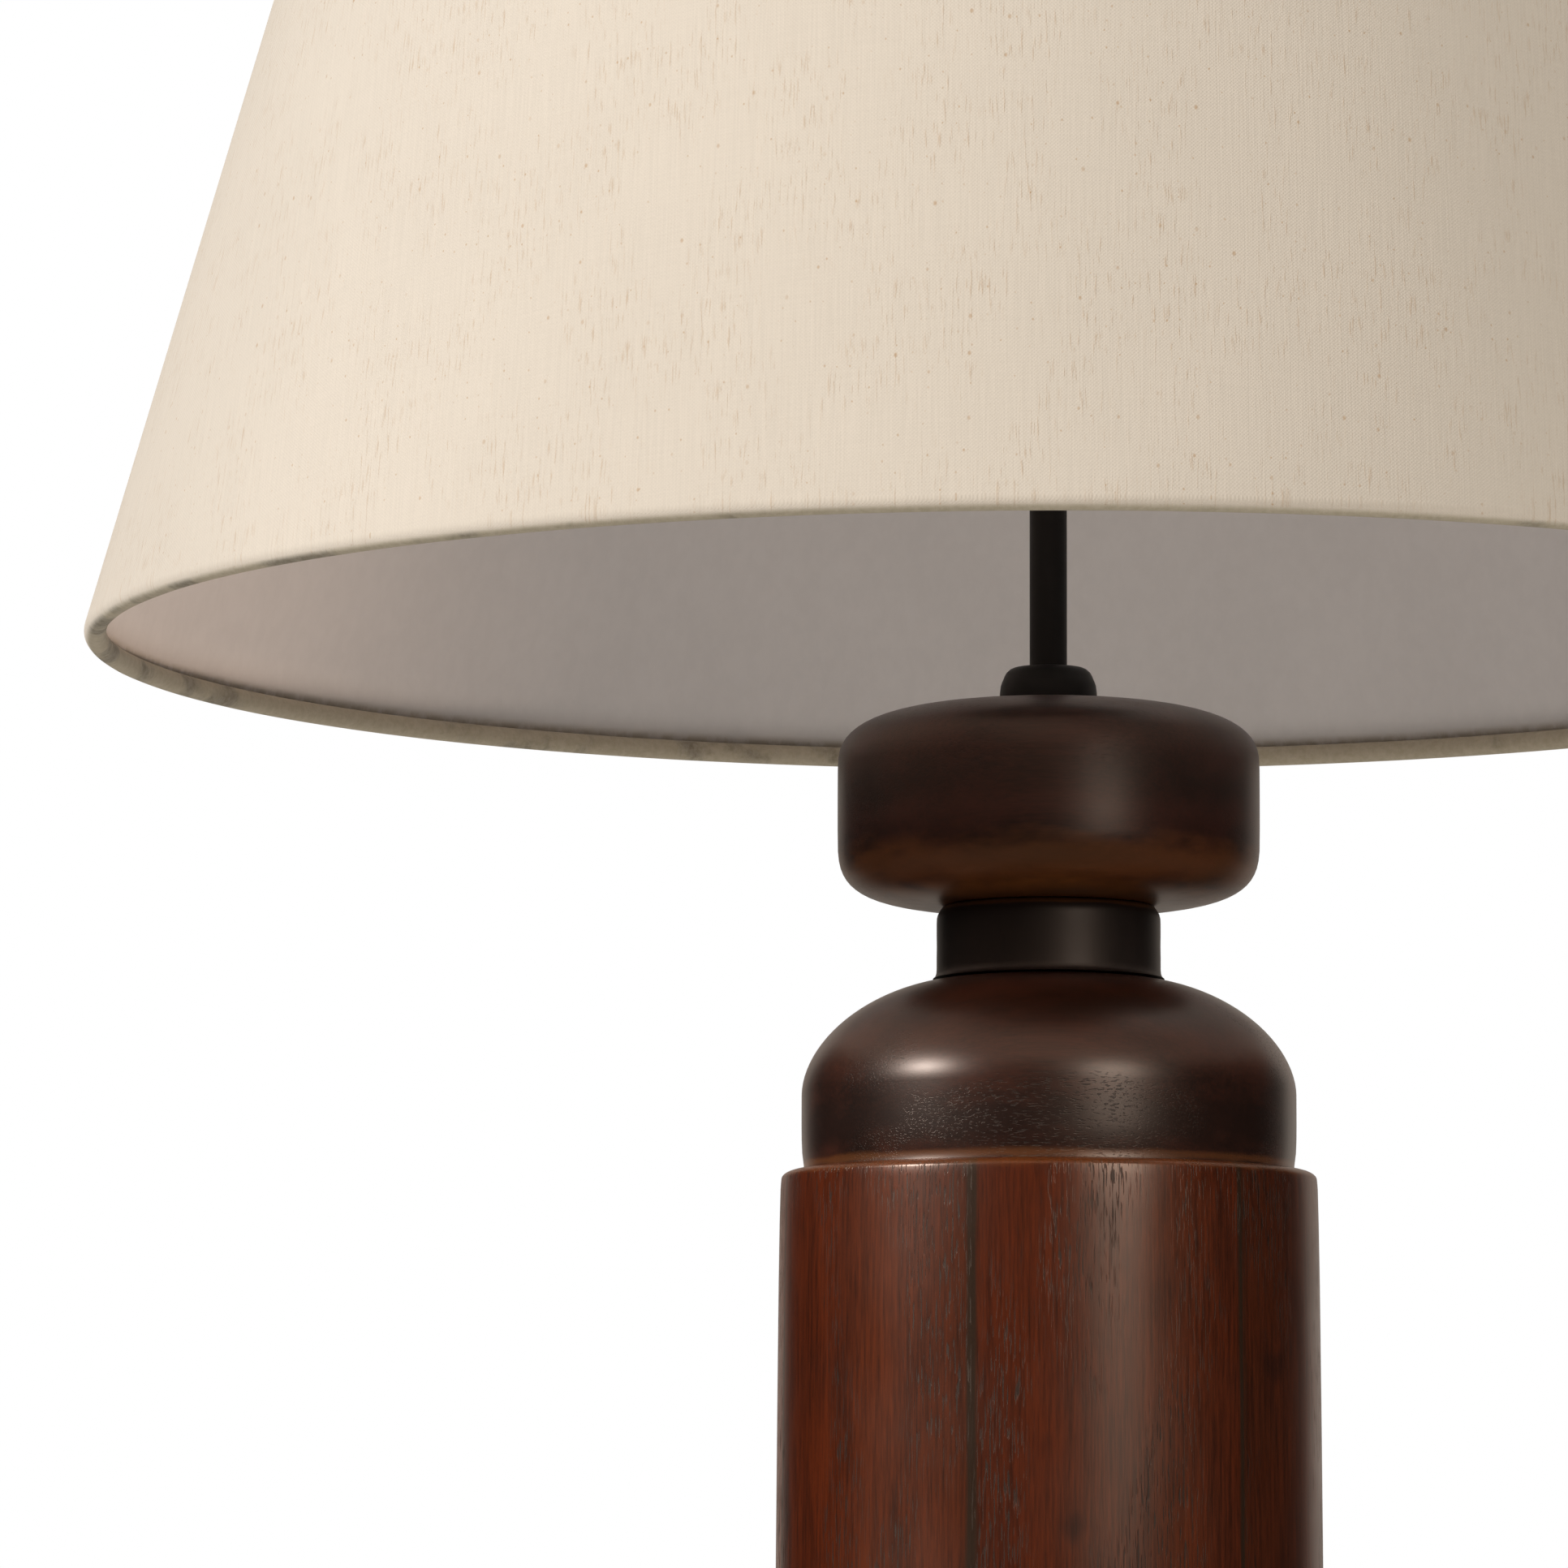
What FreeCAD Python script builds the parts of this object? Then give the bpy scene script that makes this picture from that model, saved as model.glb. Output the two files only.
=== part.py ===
"""Tripod floor lamp: a turned wooden column on three splayed legs, under a tapered linen shade.

The lamp is built as it comes apart on a bench. A threaded pipe clamps the turned pieces
(puck, neck ring, shoulder dome, barrel of six staves, leg block) between a round collar and
a nut. Three legs push into angled sockets in the leg block and are held by hanger bolts.
A riser tube on the collar carries the saddle, the lamp holder and the harp, and the shade
hangs by its spider from the stud on top of the harp, under a finial.

Millimetres, +Z up. The origin is on the floor, on the column's axis. The front is -Y.
"""

import math
import os

import FreeCAD
import Part

Vector = FreeCAD.Vector

# Driving dimensions
FLOOR_TO_RIM = 1165.0  # floor to the shade's lower rim
SHADE_BOTTOM_R = 255.0
SHADE_TOP_R = 166.0
SHADE_HEIGHT = 316.0
PUCK_R = 55.7
NECK_R = 29.5
DOME_R = 64.9
BARREL_TOP_R = 70.2
BARREL_MID_R = 71.3
BARREL_FOOT_R = 72.4
BARREL_LENGTH = 330.0
BLOCK_HEIGHT = 48.0
STAVE_COUNT = 6
STAVE_SEAM_DEG = -106.0  # one glue line, seen from above, a little left of the front
LEG_COUNT = 3
LEG_FIRST_DEG = 90.0  # one leg straight back
LEG_TOP_RING_R = 44.0  # where the legs' axes cross the block's lower face
FOOT_RING_R = 236.0
GLIDE_HEIGHT = 5.0

# Heights of the turned pieces, counted down from the shade's lower rim
PUCK_TOP = FLOOR_TO_RIM - 13.3
PUCK_FOOT = FLOOR_TO_RIM - 66.4
NECK_FOOT = FLOOR_TO_RIM - 85.6
BARREL_TOP = FLOOR_TO_RIM - 136.3
BARREL_FOOT = BARREL_TOP - BARREL_LENGTH
BLOCK_FOOT = BARREL_FOOT - BLOCK_HEIGHT

# Pipe, riser and collar
PIPE_R = 5.0
PIPE_BORE_R = 3.6
RISER_R = 4.95
RISER_TOP = FLOOR_TO_RIM + 74.0
THREAD_GAP = 0.05
PIPE_PASSAGE_R = 5.4
COLLAR_R = 12.9
COLLAR_TOP = FLOOR_TO_RIM - 2.9
COLLAR_JOINT = FLOOR_TO_RIM - 8.0
SPIGOT_R = 31.8
SPIGOT_LENGTH = 14.0
SPIGOT_GAP = 0.2
BARREL_BORE_R = 32.0
RECESS_R = 14.0
RECESS_DEPTH = 16.0
WASHER_THICKNESS = 2.0
NUT_THICKNESS = 6.0
BUSHING_BORE_R = 3.3

# Legs
LEG_R = 19.0
LEG_SWELL_R = 20.4
FOOT_R = 11.5
LEG_SOCKET_DEPTH = 20.0
LEG_SOCKET_GAP = 0.2
BOLT_R = 4.0
BOLT_IN_LEG = 40.0
BOLT_IN_INSERT = 14.0
INSERT_R = 6.5
INSERT_LENGTH = 16.0
GLIDE_R = 10.5
NAIL_R = 1.2

# Saddle, lamp holder, harp
SADDLE_FOOT = FLOOR_TO_RIM + 66.0
SADDLE_THICKNESS = 1.6
POST_TOP = FLOOR_TO_RIM + 88.0
POST_X = 24.8
HARP_WIRE_R = 1.8
HARP_LEG_X = 27.5
HARP_LEG_FOOT = FLOOR_TO_RIM + 75.8
HARP_LEG_TOP = FLOOR_TO_RIM + 112.0
SLEEVE_X = 26.65
SLEEVE_R = 4.6
SLEEVE_BORE_R = 3.6
SLEEVE_FOOT = FLOOR_TO_RIM + 77.0
SLEEVE_LENGTH = 12.0
CAP_FOOT = FLOOR_TO_RIM + 67.7
CAP_R = 16.9
SHELL_R = 16.0
SHELL_TOP = FLOOR_TO_RIM + 139.0
HOLDER_BODY_R = 13.2
HOLDER_BODY_FOOT = FLOOR_TO_RIM + 91.0
HOLDER_BODY_TOP = FLOOR_TO_RIM + 117.0
SWITCH_HEIGHT = FLOOR_TO_RIM + 105.0
SWITCH_SHAFT_R = 1.5

# Bulb
BULB_FOOT = FLOOR_TO_RIM + 119.5
BULB_SHELL_R = 13.0
BULB_NECK_R = 12.0
BULB_R = 30.0
BULB_CENTRE = FLOOR_TO_RIM + 193.0
BULB_GLASS = 0.8

# Shade, its rings and the finial
FABRIC = 0.9
LINER = 0.7
BEAD_R = 2.9
RING_R = 1.8
HEM_NOTCH = 2.7
HEM_TURN_IN = 8.0
FLAP = 0.8
SPIDER_WIRE_R = 1.5
STUD_SEAT = FLOOR_TO_RIM + 290.0
STUD_R = 3.1
WASHER_SEAT_GAP = 0.3
FITTER_THICKNESS = 2.0

SHADE_SLOPE = (SHADE_BOTTOM_R - SHADE_TOP_R) / SHADE_HEIGHT
SLOPE_ANGLE = math.atan(SHADE_SLOPE)
LEG_RUN = FOOT_RING_R - LEG_TOP_RING_R
LEG_DROP = BLOCK_FOOT - GLIDE_HEIGHT
LEG_SPLAY = math.atan2(LEG_RUN, LEG_DROP)

UP = Vector(0, 0, 1)
parts = {}


def outline(start, *steps):
    """A closed wire in the XZ plane. A step is (x, z) for a line, or (middle, end) for an arc."""
    here = Vector(start[0], 0, start[1])
    edges = []
    for step in [*steps, start]:
        if isinstance(step[0], tuple):
            middle = Vector(step[0][0], 0, step[0][1])
            end = Vector(step[1][0], 0, step[1][1])
            edges.append(Part.Arc(here, middle, end).toShape())
        else:
            end = Vector(step[0], 0, step[1])
            if end.distanceToPoint(here) > 1e-7:
                edges.append(Part.makeLine(here, end))
        here = end
    return Part.Wire(edges)


def turned(start, *steps):
    """A solid turned about Z from a closed outline of (radius, height) points and arcs."""
    return Part.Face(outline(start, *steps)).revolve(Vector(0, 0, 0), UP, 360)


def rod(radius, low, high, x=0.0, y=0.0):
    return Part.makeCylinder(radius, high - low, Vector(x, y, low), UP)


def tube(radius, bore, low, high, x=0.0, y=0.0):
    return rod(radius, low, high, x, y).cut(rod(bore, low - 1, high + 1, x, y))


def hexagon(across_flats, low, high, bore):
    corner = across_flats / math.sqrt(3)
    points = [
        Vector(corner * math.cos(math.radians(a)), corner * math.sin(math.radians(a)), low)
        for a in range(0, 361, 60)
    ]
    blank = Part.Face(Part.makePolygon(points)).extrude(Vector(0, 0, high - low))
    return blank.cut(rod(bore, low - 1, high + 1))


def turned_round(shape, degrees):
    copy = shape.copy()
    copy.rotate(Vector(0, 0, 0), UP, degrees)
    return copy


def add(name, shape):
    if not shape.isValid() or shape.Volume <= 0:
        raise ValueError(f"{name} is not a sound solid")
    parts[name] = shape


# ---------------------------------------------------------------- turned column

def top_puck():
    """Fat round-shouldered disc, slightly crowned on top."""
    z = FLOOR_TO_RIM
    return turned(
        (PIPE_PASSAGE_R, PUCK_TOP),
        (20.0, PUCK_TOP),
        ((34.0, z - 14.2), (46.3, z - 17.1)),
        ((52.4, z - 20.7), (PUCK_R, z - 30.2)),
        (PUCK_R, z - 46.0),
        ((54.5, z - 57.0), (48.6, z - 63.4)),
        ((41.0, z - 65.7), (31.0, PUCK_FOOT)),
        (PIPE_PASSAGE_R, PUCK_FOOT),
    )


def neck_ring():
    """Short cylinder with an eased upper edge and a small foot fillet."""
    return turned(
        (PIPE_PASSAGE_R, PUCK_FOOT),
        (NECK_R - 1.6, PUCK_FOOT),
        (NECK_R, PUCK_FOOT - 2.2),
        (NECK_R, NECK_FOOT + 1.6),
        ((NECK_R + 0.35, NECK_FOOT + 0.5), (NECK_R + 1.0, NECK_FOOT)),
        (PIPE_PASSAGE_R, NECK_FOOT),
    )


def shoulder_dome():
    """Domed shoulder with a spigot that centres it in the barrel's bore."""
    z = FLOOR_TO_RIM
    return turned(
        (PIPE_PASSAGE_R, NECK_FOOT),
        (NECK_R + 1.2, NECK_FOOT),
        ((46.6, z - 91.8), (58.4, z - 101.6)),
        ((63.2, z - 109.0), (DOME_R, z - 119.0)),
        (DOME_R, BARREL_TOP + 1.3),
        ((DOME_R - 0.4, BARREL_TOP + 0.4), (DOME_R - 1.3, BARREL_TOP)),
        (SPIGOT_R, BARREL_TOP),
        (SPIGOT_R, BARREL_TOP - SPIGOT_LENGTH),
        (PIPE_PASSAGE_R, BARREL_TOP - SPIGOT_LENGTH),
    )


def barrel():
    """Hollow barrel with rounded shoulders and a long, faint outward curve."""
    return turned(
        (BARREL_BORE_R, BARREL_TOP),
        (BARREL_TOP_R - 3.6, BARREL_TOP),
        ((BARREL_TOP_R - 0.9, BARREL_TOP - 1.1), (BARREL_TOP_R, BARREL_TOP - 4.0)),
        ((BARREL_MID_R, FLOOR_TO_RIM - 233.0), (BARREL_FOOT_R, BARREL_FOOT + 1.2)),
        (BARREL_FOOT_R - 1.2, BARREL_FOOT),
        (BARREL_BORE_R, BARREL_FOOT),
    )


def stave(whole, start_deg):
    """The slice of the barrel between two glue lines."""
    reach = BARREL_FOOT_R + 10
    low, high = BARREL_FOOT - 1, BARREL_TOP + 1
    wedge = Part.makeCylinder(reach, high - low, Vector(0, 0, low), UP, 360.0 / STAVE_COUNT)
    return whole.common(turned_round(wedge, start_deg))


def leg_axis():
    """Start and direction of the first leg's axis: down and outwards along +X, before turning."""
    direction = Vector(math.sin(LEG_SPLAY), 0, -math.cos(LEG_SPLAY))
    mouth = Vector(LEG_TOP_RING_R, 0, BLOCK_FOOT)
    return mouth - direction * LEG_SOCKET_DEPTH, direction


def leg_angles():
    return [LEG_FIRST_DEG + i * 360.0 / LEG_COUNT for i in range(LEG_COUNT)]


def along_leg(radius, start, end):
    """A cylinder on the leg's axis, between two distances from the leg's top end."""
    top, direction = leg_axis()
    return Part.makeCylinder(radius, end - start, top + direction * start, direction)


def leg_block():
    """Round block under the barrel: spigot, three angled leg sockets, recess for the nut."""
    block = turned(
        (PIPE_PASSAGE_R, BARREL_FOOT + SPIGOT_LENGTH),
        (SPIGOT_R, BARREL_FOOT + SPIGOT_LENGTH),
        (SPIGOT_R, BARREL_FOOT),
        (BARREL_FOOT_R - 1.2, BARREL_FOOT),
        (BARREL_FOOT_R, BARREL_FOOT - 1.2),
        (BARREL_FOOT_R, BLOCK_FOOT + 9.0),
        ((BARREL_FOOT_R - 2.4, BLOCK_FOOT + 2.8), (BARREL_FOOT_R - 8.0, BLOCK_FOOT)),
        (RECESS_R, BLOCK_FOOT),
        (RECESS_R, BLOCK_FOOT + RECESS_DEPTH),
        (PIPE_PASSAGE_R, BLOCK_FOOT + RECESS_DEPTH),
    )
    for angle in leg_angles():
        socket = along_leg(LEG_R + LEG_SOCKET_GAP, 0, LEG_SOCKET_DEPTH + 20)
        pocket = along_leg(INSERT_R, -INSERT_LENGTH - 1.0, 1.0)
        block = block.cut(turned_round(socket.fuse(pocket), angle))
    return block


# ---------------------------------------------------------------- legs

def leg():
    """Turned leg: straight at its top, a faint swell, then a long taper, cut level at the foot."""
    top, direction = leg_axis()
    length = LEG_SOCKET_DEPTH + LEG_DROP / math.cos(LEG_SPLAY)
    spindle = turned(
        (0, 0),
        (LEG_R - 1.0, 0),
        (LEG_R, 1.0),
        (LEG_R, LEG_SOCKET_DEPTH + 8.0),
        ((LEG_SWELL_R - 0.3, 0.30 * length), (0.5 * (LEG_SWELL_R + FOOT_R) + 2.0, 0.62 * length)),
        ((FOOT_R + 2.6, 0.84 * length), (FOOT_R, length)),
        (FOOT_R, length + 8.0),
        (0, length + 8.0),
    )
    spindle.Placement = FreeCAD.Placement(top, FreeCAD.Rotation(UP, direction))
    floor_cut = Part.makeBox(200, 200, 60, Vector(FOOT_RING_R - 100, -100, GLIDE_HEIGHT - 60))
    pilot = along_leg(BOLT_R + THREAD_GAP, -1, BOLT_IN_LEG + 1)
    nail_hole = rod(NAIL_R + 0.05, GLIDE_HEIGHT - 1, GLIDE_HEIGHT + 21, FOOT_RING_R)
    return spindle.cut(floor_cut).cut(pilot).cut(nail_hole)


def hanger_bolt():
    return along_leg(BOLT_R, -BOLT_IN_INSERT, BOLT_IN_LEG)


def leg_insert():
    """Threaded steel insert driven into the bottom of a leg socket."""
    blank = along_leg(INSERT_R - THREAD_GAP, -INSERT_LENGTH, -0.2)
    return blank.cut(along_leg(BOLT_R + THREAD_GAP, -INSERT_LENGTH - 1, 1))


def foot_glide():
    """Nylon disc under a foot, with a rounded lower edge and a recess for the nail's head."""
    disc = turned(
        (0, 0),
        (GLIDE_R - 1.2, 0),
        ((GLIDE_R - 0.35, 0.35), (GLIDE_R, 1.2)),
        (GLIDE_R, GLIDE_HEIGHT),
        (0, GLIDE_HEIGHT),
    )
    disc.translate(Vector(FOOT_RING_R, 0, 0))
    head_recess = rod(3.6, -1, 1.8, FOOT_RING_R)
    return disc.cut(head_recess).cut(rod(NAIL_R + 0.05, -1, GLIDE_HEIGHT + 1, FOOT_RING_R))


def glide_nail():
    head = rod(3.4, 0.8, 1.8, FOOT_RING_R)
    return head.fuse(rod(NAIL_R, 1.8, GLIDE_HEIGHT + 20, FOOT_RING_R))


def three_of(shape):
    return Part.makeCompound([turned_round(shape, angle) for angle in leg_angles()])


# ---------------------------------------------------------------- pipe, collar, riser

def collar():
    """Round black nut, domed, that joins the pipe to the riser and seats on the puck."""
    bore = PIPE_R + THREAD_GAP
    return turned(
        (bore, PUCK_TOP),
        (COLLAR_R, PUCK_TOP),
        (COLLAR_R, PUCK_TOP + 1.6),
        ((COLLAR_R - 0.8, COLLAR_TOP - 4.6), (COLLAR_R - 2.7, COLLAR_TOP - 1.0)),
        ((COLLAR_R - 3.4, COLLAR_TOP - 0.25), (COLLAR_R - 4.6, COLLAR_TOP)),
        (bore, COLLAR_TOP),
    )


def cord_bushing():
    """Nylon cap on the pipe's lower end; the flex would leave the lamp through its hole."""
    low, high = BLOCK_FOOT - 4.0, BLOCK_FOOT + 7.5
    seat = BLOCK_FOOT + 2.0
    return turned(
        (BUSHING_BORE_R, low + 0.8),
        ((BUSHING_BORE_R + 0.23, low + 0.23), (BUSHING_BORE_R + 0.8, low)),
        (6.4, low),
        (7.4, low + 1.0),
        (7.4, high),
        (PIPE_R + THREAD_GAP, high),
        (PIPE_R + THREAD_GAP, seat),
        (BUSHING_BORE_R, seat),
    )


# ---------------------------------------------------------------- saddle, harp, sleeves

def harp_saddle():
    """Bent strip under the lamp holder, with a narrow upright post at each end."""
    low = SADDLE_FOOT
    high = low + SADDLE_THICKNESS
    inner, outer = POST_X - 0.8, POST_X + 0.8
    right = [(15.4, low), (outer, low + 8.0), (outer, POST_TOP), (inner, POST_TOP),
             (inner, low + 8.8), (14.8, high)]
    left = [(-x, z) for x, z in reversed(right)]
    points = [Vector(x, -5.5, z) for x, z in [*right, *left, right[0]]]
    strip = Part.Face(Part.makePolygon(points)).extrude(Vector(0, 11, 0))
    for side in (-1, 1):
        waste = Part.makeBox(10, 6, POST_TOP, Vector(side * POST_X - 5, 1.9, low + 9.5))
        strip = strip.cut(waste).cut(waste.mirror(Vector(0, 0, 0), Vector(0, 1, 0)))
    return strip.cut(rod(RISER_R + 0.1, low - 1, high + 1))


def harp_side():
    """Right half of the harp's centre line: straight leg, outward arc, long bow, round top."""
    edges = []
    here = Vector(HARP_LEG_X, 0, HARP_LEG_FOOT)
    top = Vector(HARP_LEG_X, 0, HARP_LEG_TOP)
    edges.append(Part.makeLine(here, top))
    here, heading = top, 0.0  # heading in degrees left of straight up
    for radius, turn in ((45.0, -30.0), (130.0, 66.0), (24.0, 54.0)):
        side = 1 if turn > 0 else -1
        h = math.radians(heading)
        centre = here + Vector(-math.cos(h), 0, -math.sin(h)) * radius * side
        spots = []
        for share in (0.5, 1.0):
            a = math.radians(heading + turn * share)
            spots.append(centre + Vector(math.cos(a), 0, math.sin(a)) * radius * side)
        edges.append(Part.Arc(here, spots[0], spots[1]).toShape())
        here, heading = spots[1], heading + turn
    edges.append(Part.makeLine(here, Vector(0, 0, here.z)))
    return edges, here.z


def harp():
    """Bent wire loop with a pressed boss at the top for the stud."""
    edges, top = harp_side()
    path = Part.Wire(edges)
    start = Vector(HARP_LEG_X, 0, HARP_LEG_FOOT)
    ring = Part.Wire(Part.makeCircle(HARP_WIRE_R, start, UP))
    half = path.makePipeShell([ring], True, True)
    loop = half.fuse(half.mirror(Vector(0, 0, 0), Vector(1, 0, 0)))
    loop = loop.fuse(rod(5.2, top - 2.4, top + HARP_WIRE_R))
    return loop.cut(rod(2.6, top - 5, top + 5)).removeSplitter(), top


def harp_stud(wire_top):
    """Stud riveted through the harp's boss, with a flange that the shade's washer rests over."""
    boss_top = wire_top + HARP_WIRE_R
    flange = rod(7.0, boss_top + 0.05, STUD_SEAT)
    rivet = rod(2.55, wire_top - 2.5, boss_top + 0.05)
    head = rod(4.0, wire_top - 3.4, wire_top - 2.4)
    threaded = rod(STUD_R, STUD_SEAT, STUD_SEAT + 16)
    return flange.fuse(rivet).fuse(head).fuse(threaded)


# ---------------------------------------------------------------- lamp holder

def holder_cap():
    """Bell-shaped lower half of the lamp holder's case, with a threaded hub."""
    z = CAP_FOOT
    top = FLOOR_TO_RIM + 97.0
    cap = turned(
        (RISER_R + THREAD_GAP, z),
        (7.5, z),
        (7.5, z + 7.0),
        ((14.2, z + 10.8), (CAP_R, z + 17.5)),
        (CAP_R, top),
        (CAP_R - 0.8, top),
        (CAP_R - 0.8, z + 17.7),
        ((13.5, z + 11.7), (7.0, z + 8.4)),
        (PIPE_BORE_R, z + 8.4),
        (PIPE_BORE_R, z + 6.4),
        (RISER_R + THREAD_GAP, z + 6.4),
    )
    return cap.cut(Part.makeCylinder(1.45, 8, Vector(4, 0, z + 3.4), Vector(1, 0, 0)))


def set_screw():
    """Small screw through the cap's hub that locks it on the riser."""
    height = CAP_FOOT + 3.4
    shank = Part.makeCylinder(1.4, 3.3, Vector(RISER_R + 0.1, 0, height), Vector(1, 0, 0))
    head = Part.makeCylinder(2.4, 1.6, Vector(RISER_R + 3.4, 0, height), Vector(1, 0, 0))
    slot = Part.makeBox(1.0, 5.4, 0.6, Vector(RISER_R + 4.2, -2.7, height - 0.3))
    return shank.fuse(head).cut(slot)


def across(radius, near, far):
    """A cylinder along +Y at the switch's height."""
    start = Vector(0, near, SWITCH_HEIGHT)
    return Part.makeCylinder(radius, far - near, start, Vector(0, 1, 0))


def holder_shell():
    """Upper half of the case: thin tube with a rolled lip and a hole for the switch."""
    low = FLOOR_TO_RIM + 89.0
    inner = SHELL_R - 0.6
    shell = turned(
        (inner, low),
        (SHELL_R, low),
        (SHELL_R, SHELL_TOP - 1.4),
        ((SHELL_R + 0.6, SHELL_TOP - 0.7), (SHELL_R, SHELL_TOP)),
        (inner, SHELL_TOP),
    )
    return shell.cut(across(3.9, 10, 20))


def holder_liner():
    """Insulating fibre sleeve inside the shell."""
    sleeve = tube(SHELL_R - 0.7, SHELL_R - 1.2, FLOOR_TO_RIM + 92, SHELL_TOP - 1.5)
    return sleeve.cut(across(3.9, 10, 20))


def holder_body():
    """Moulded insulator that holds the contacts and the switch."""
    body = rod(HOLDER_BODY_R, HOLDER_BODY_FOOT, HOLDER_BODY_TOP)
    body = body.fuse(across(3.6, 10, 20.5))
    body = body.cut(across(5.0, 3.0, 11.0)).cut(across(SWITCH_SHAFT_R + 0.1, 10, 22))
    for side in (-1, 1):
        start = Vector(side * 9.0, 0, HOLDER_BODY_FOOT + 8.0)
        body = body.cut(Part.makeCylinder(2.05, 6, start, Vector(side, 0, 0)))
    return body


def terminal_screws():
    screws = []
    for side in (-1, 1):
        aim = Vector(side, 0, 0)
        height = HOLDER_BODY_FOOT + 8.0
        shank = Part.makeCylinder(2.0, 4.0, Vector(side * 9.3, 0, height), aim)
        head = Part.makeCylinder(2.6, 0.9, Vector(side * (HOLDER_BODY_R + 0.05), 0, height), aim)
        screws.append(shank.fuse(head))
    return Part.makeCompound(screws)


def screw_shell():
    """Brass cup that the bulb screws into."""
    low = HOLDER_BODY_TOP
    return turned(
        (5.0, low),
        (13.9, low),
        (13.9, SHELL_TOP - 2.0),
        (13.3, SHELL_TOP - 2.0),
        (13.3, low + 0.7),
        (5.0, low + 0.7),
    )


def centre_contact():
    """Sprung tab under the bulb's eyelet."""
    low = HOLDER_BODY_TOP
    strip = Part.makeBox(7.0, 3.6, 0.5, Vector(-3.5, -1.8, low))
    return strip.fuse(rod(1.6, low + 0.5, low + 2.1))


def switch_knob():
    """Turn knob with a waisted grip and four finger flats."""
    knob = turned((0, 0), (5.6, 0), (6.2, 0.8), (6.2, 3.2), ((5.0, 5.4), (5.5, 7.6)),
                  (5.5, 12.6), ((5.1, 13.6), (4.1, 14.0)), (0, 14.0))
    for quarter in range(4):
        flat = Part.makeBox(10, 20, 6.4, Vector(4.7, -10, 7.4))
        knob = knob.cut(turned_round(flat, 45 + quarter * 90))
    knob.Placement = FreeCAD.Placement(
        Vector(0, 21.2, SWITCH_HEIGHT), FreeCAD.Rotation(UP, Vector(0, 1, 0))
    )
    return knob.cut(across(SWITCH_SHAFT_R + 0.02, 21, 31))


# ---------------------------------------------------------------- bulb

def bulb_form(inset):
    """The bulb's envelope, closed, shrunk by inset."""
    neck = BULB_NECK_R - inset
    ball = BULB_R - inset
    z = BULB_CENTRE
    low = BULB_FOOT + 12.0 + inset
    side = math.radians(-35)
    meet = (ball * math.cos(side), z + ball * math.sin(side))
    flare = ((neck + 4.6, z - 33.5), meet)
    return turned((0, low), (neck, low), (neck, z - 46.0), flare, ((ball, z), (0, z + ball)))


def bulb_glass():
    return bulb_form(0).cut(bulb_form(BULB_GLASS))


def bulb_base():
    """Pressed screw cap: five rolled threads on a plain sleeve."""
    low = BULB_FOOT + 4.0
    pitch = 3.3
    steps = []
    for turn in range(5):
        z = low + turn * pitch
        steps.append(((BULB_SHELL_R, z + pitch / 2), (BULB_SHELL_R - 0.7, z + pitch)))
    top = low + 5 * pitch
    return turned(
        (BULB_NECK_R + 0.05, low),
        (BULB_SHELL_R - 0.7, low),
        *steps,
        (BULB_SHELL_R - 0.2, top + 0.6),
        (BULB_SHELL_R - 0.2, top + 4.0),
        (BULB_NECK_R + 0.05, top + 4.0),
    )


def bulb_insulator():
    low = BULB_FOOT + 1.2
    return turned((0, low), (4.6, low), (BULB_NECK_R, BULB_FOOT + 4.6),
                  (BULB_NECK_R, BULB_FOOT + 6.6), (0, BULB_FOOT + 6.6))


def bulb_eyelet():
    return turned((0, BULB_FOOT), (2.0, BULB_FOOT), ((3.6, BULB_FOOT + 0.4), (4.4, BULB_FOOT + 1.2)),
                  (0, BULB_FOOT + 1.2))


FILAMENT_RING_R = 8.0
FILAMENT_LOW = BULB_CENTRE - 22.0
FILAMENT_HIGH = BULB_CENTRE + 12.0


def bulb_stem():
    """Glass stem with the wires that hold the filaments."""
    foot = BULB_FOOT + 13.0
    stem = rod(9.0, foot, foot + 2.0).fuse(rod(2.6, foot, FILAMENT_HIGH - 8))
    for quarter in range(4):
        for height in (FILAMENT_LOW, FILAMENT_HIGH - 10):
            spoke = Part.makeCylinder(
                0.5, FILAMENT_RING_R - 1.2, Vector(0, 0, height + 1.0), Vector(1, 0, 0)
            )
            stem = stem.fuse(turned_round(spoke, quarter * 90 + 45))
    return stem


def bulb_filaments():
    rods = []
    for quarter in range(4):
        strip = rod(1.0, FILAMENT_LOW, FILAMENT_HIGH, FILAMENT_RING_R)
        rods.append(turned_round(strip, quarter * 90 + 45))
    return Part.makeCompound(rods).cut(bulb_stem())


# ---------------------------------------------------------------- shade

def wall(height, inset=0.0):
    """Radius of the shade's outer face at a height above its rim, moved inwards by inset."""
    return SHADE_BOTTOM_R - SHADE_SLOPE * height - inset / math.cos(SLOPE_ANGLE)


LOW_BEAD = (wall(BEAD_R, BEAD_R), BEAD_R)
HIGH_BEAD = (wall(SHADE_HEIGHT - BEAD_R, BEAD_R), SHADE_HEIGHT - BEAD_R)


def hem_point(bead, along, out):
    """A point near a hem: a distance up the wall from the bead's centre, and one out of it."""
    x = bead[0] - along * math.sin(SLOPE_ANGLE) + out * math.cos(SLOPE_ANGLE)
    z = bead[1] + along * math.cos(SLOPE_ANGLE) + out * math.sin(SLOPE_ANGLE)
    return x, FLOOR_TO_RIM + z


def ring(centre, radius):
    return Part.makeTorus(centre[0], radius, Vector(0, 0, FLOOR_TO_RIM + centre[1]), UP)


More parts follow.
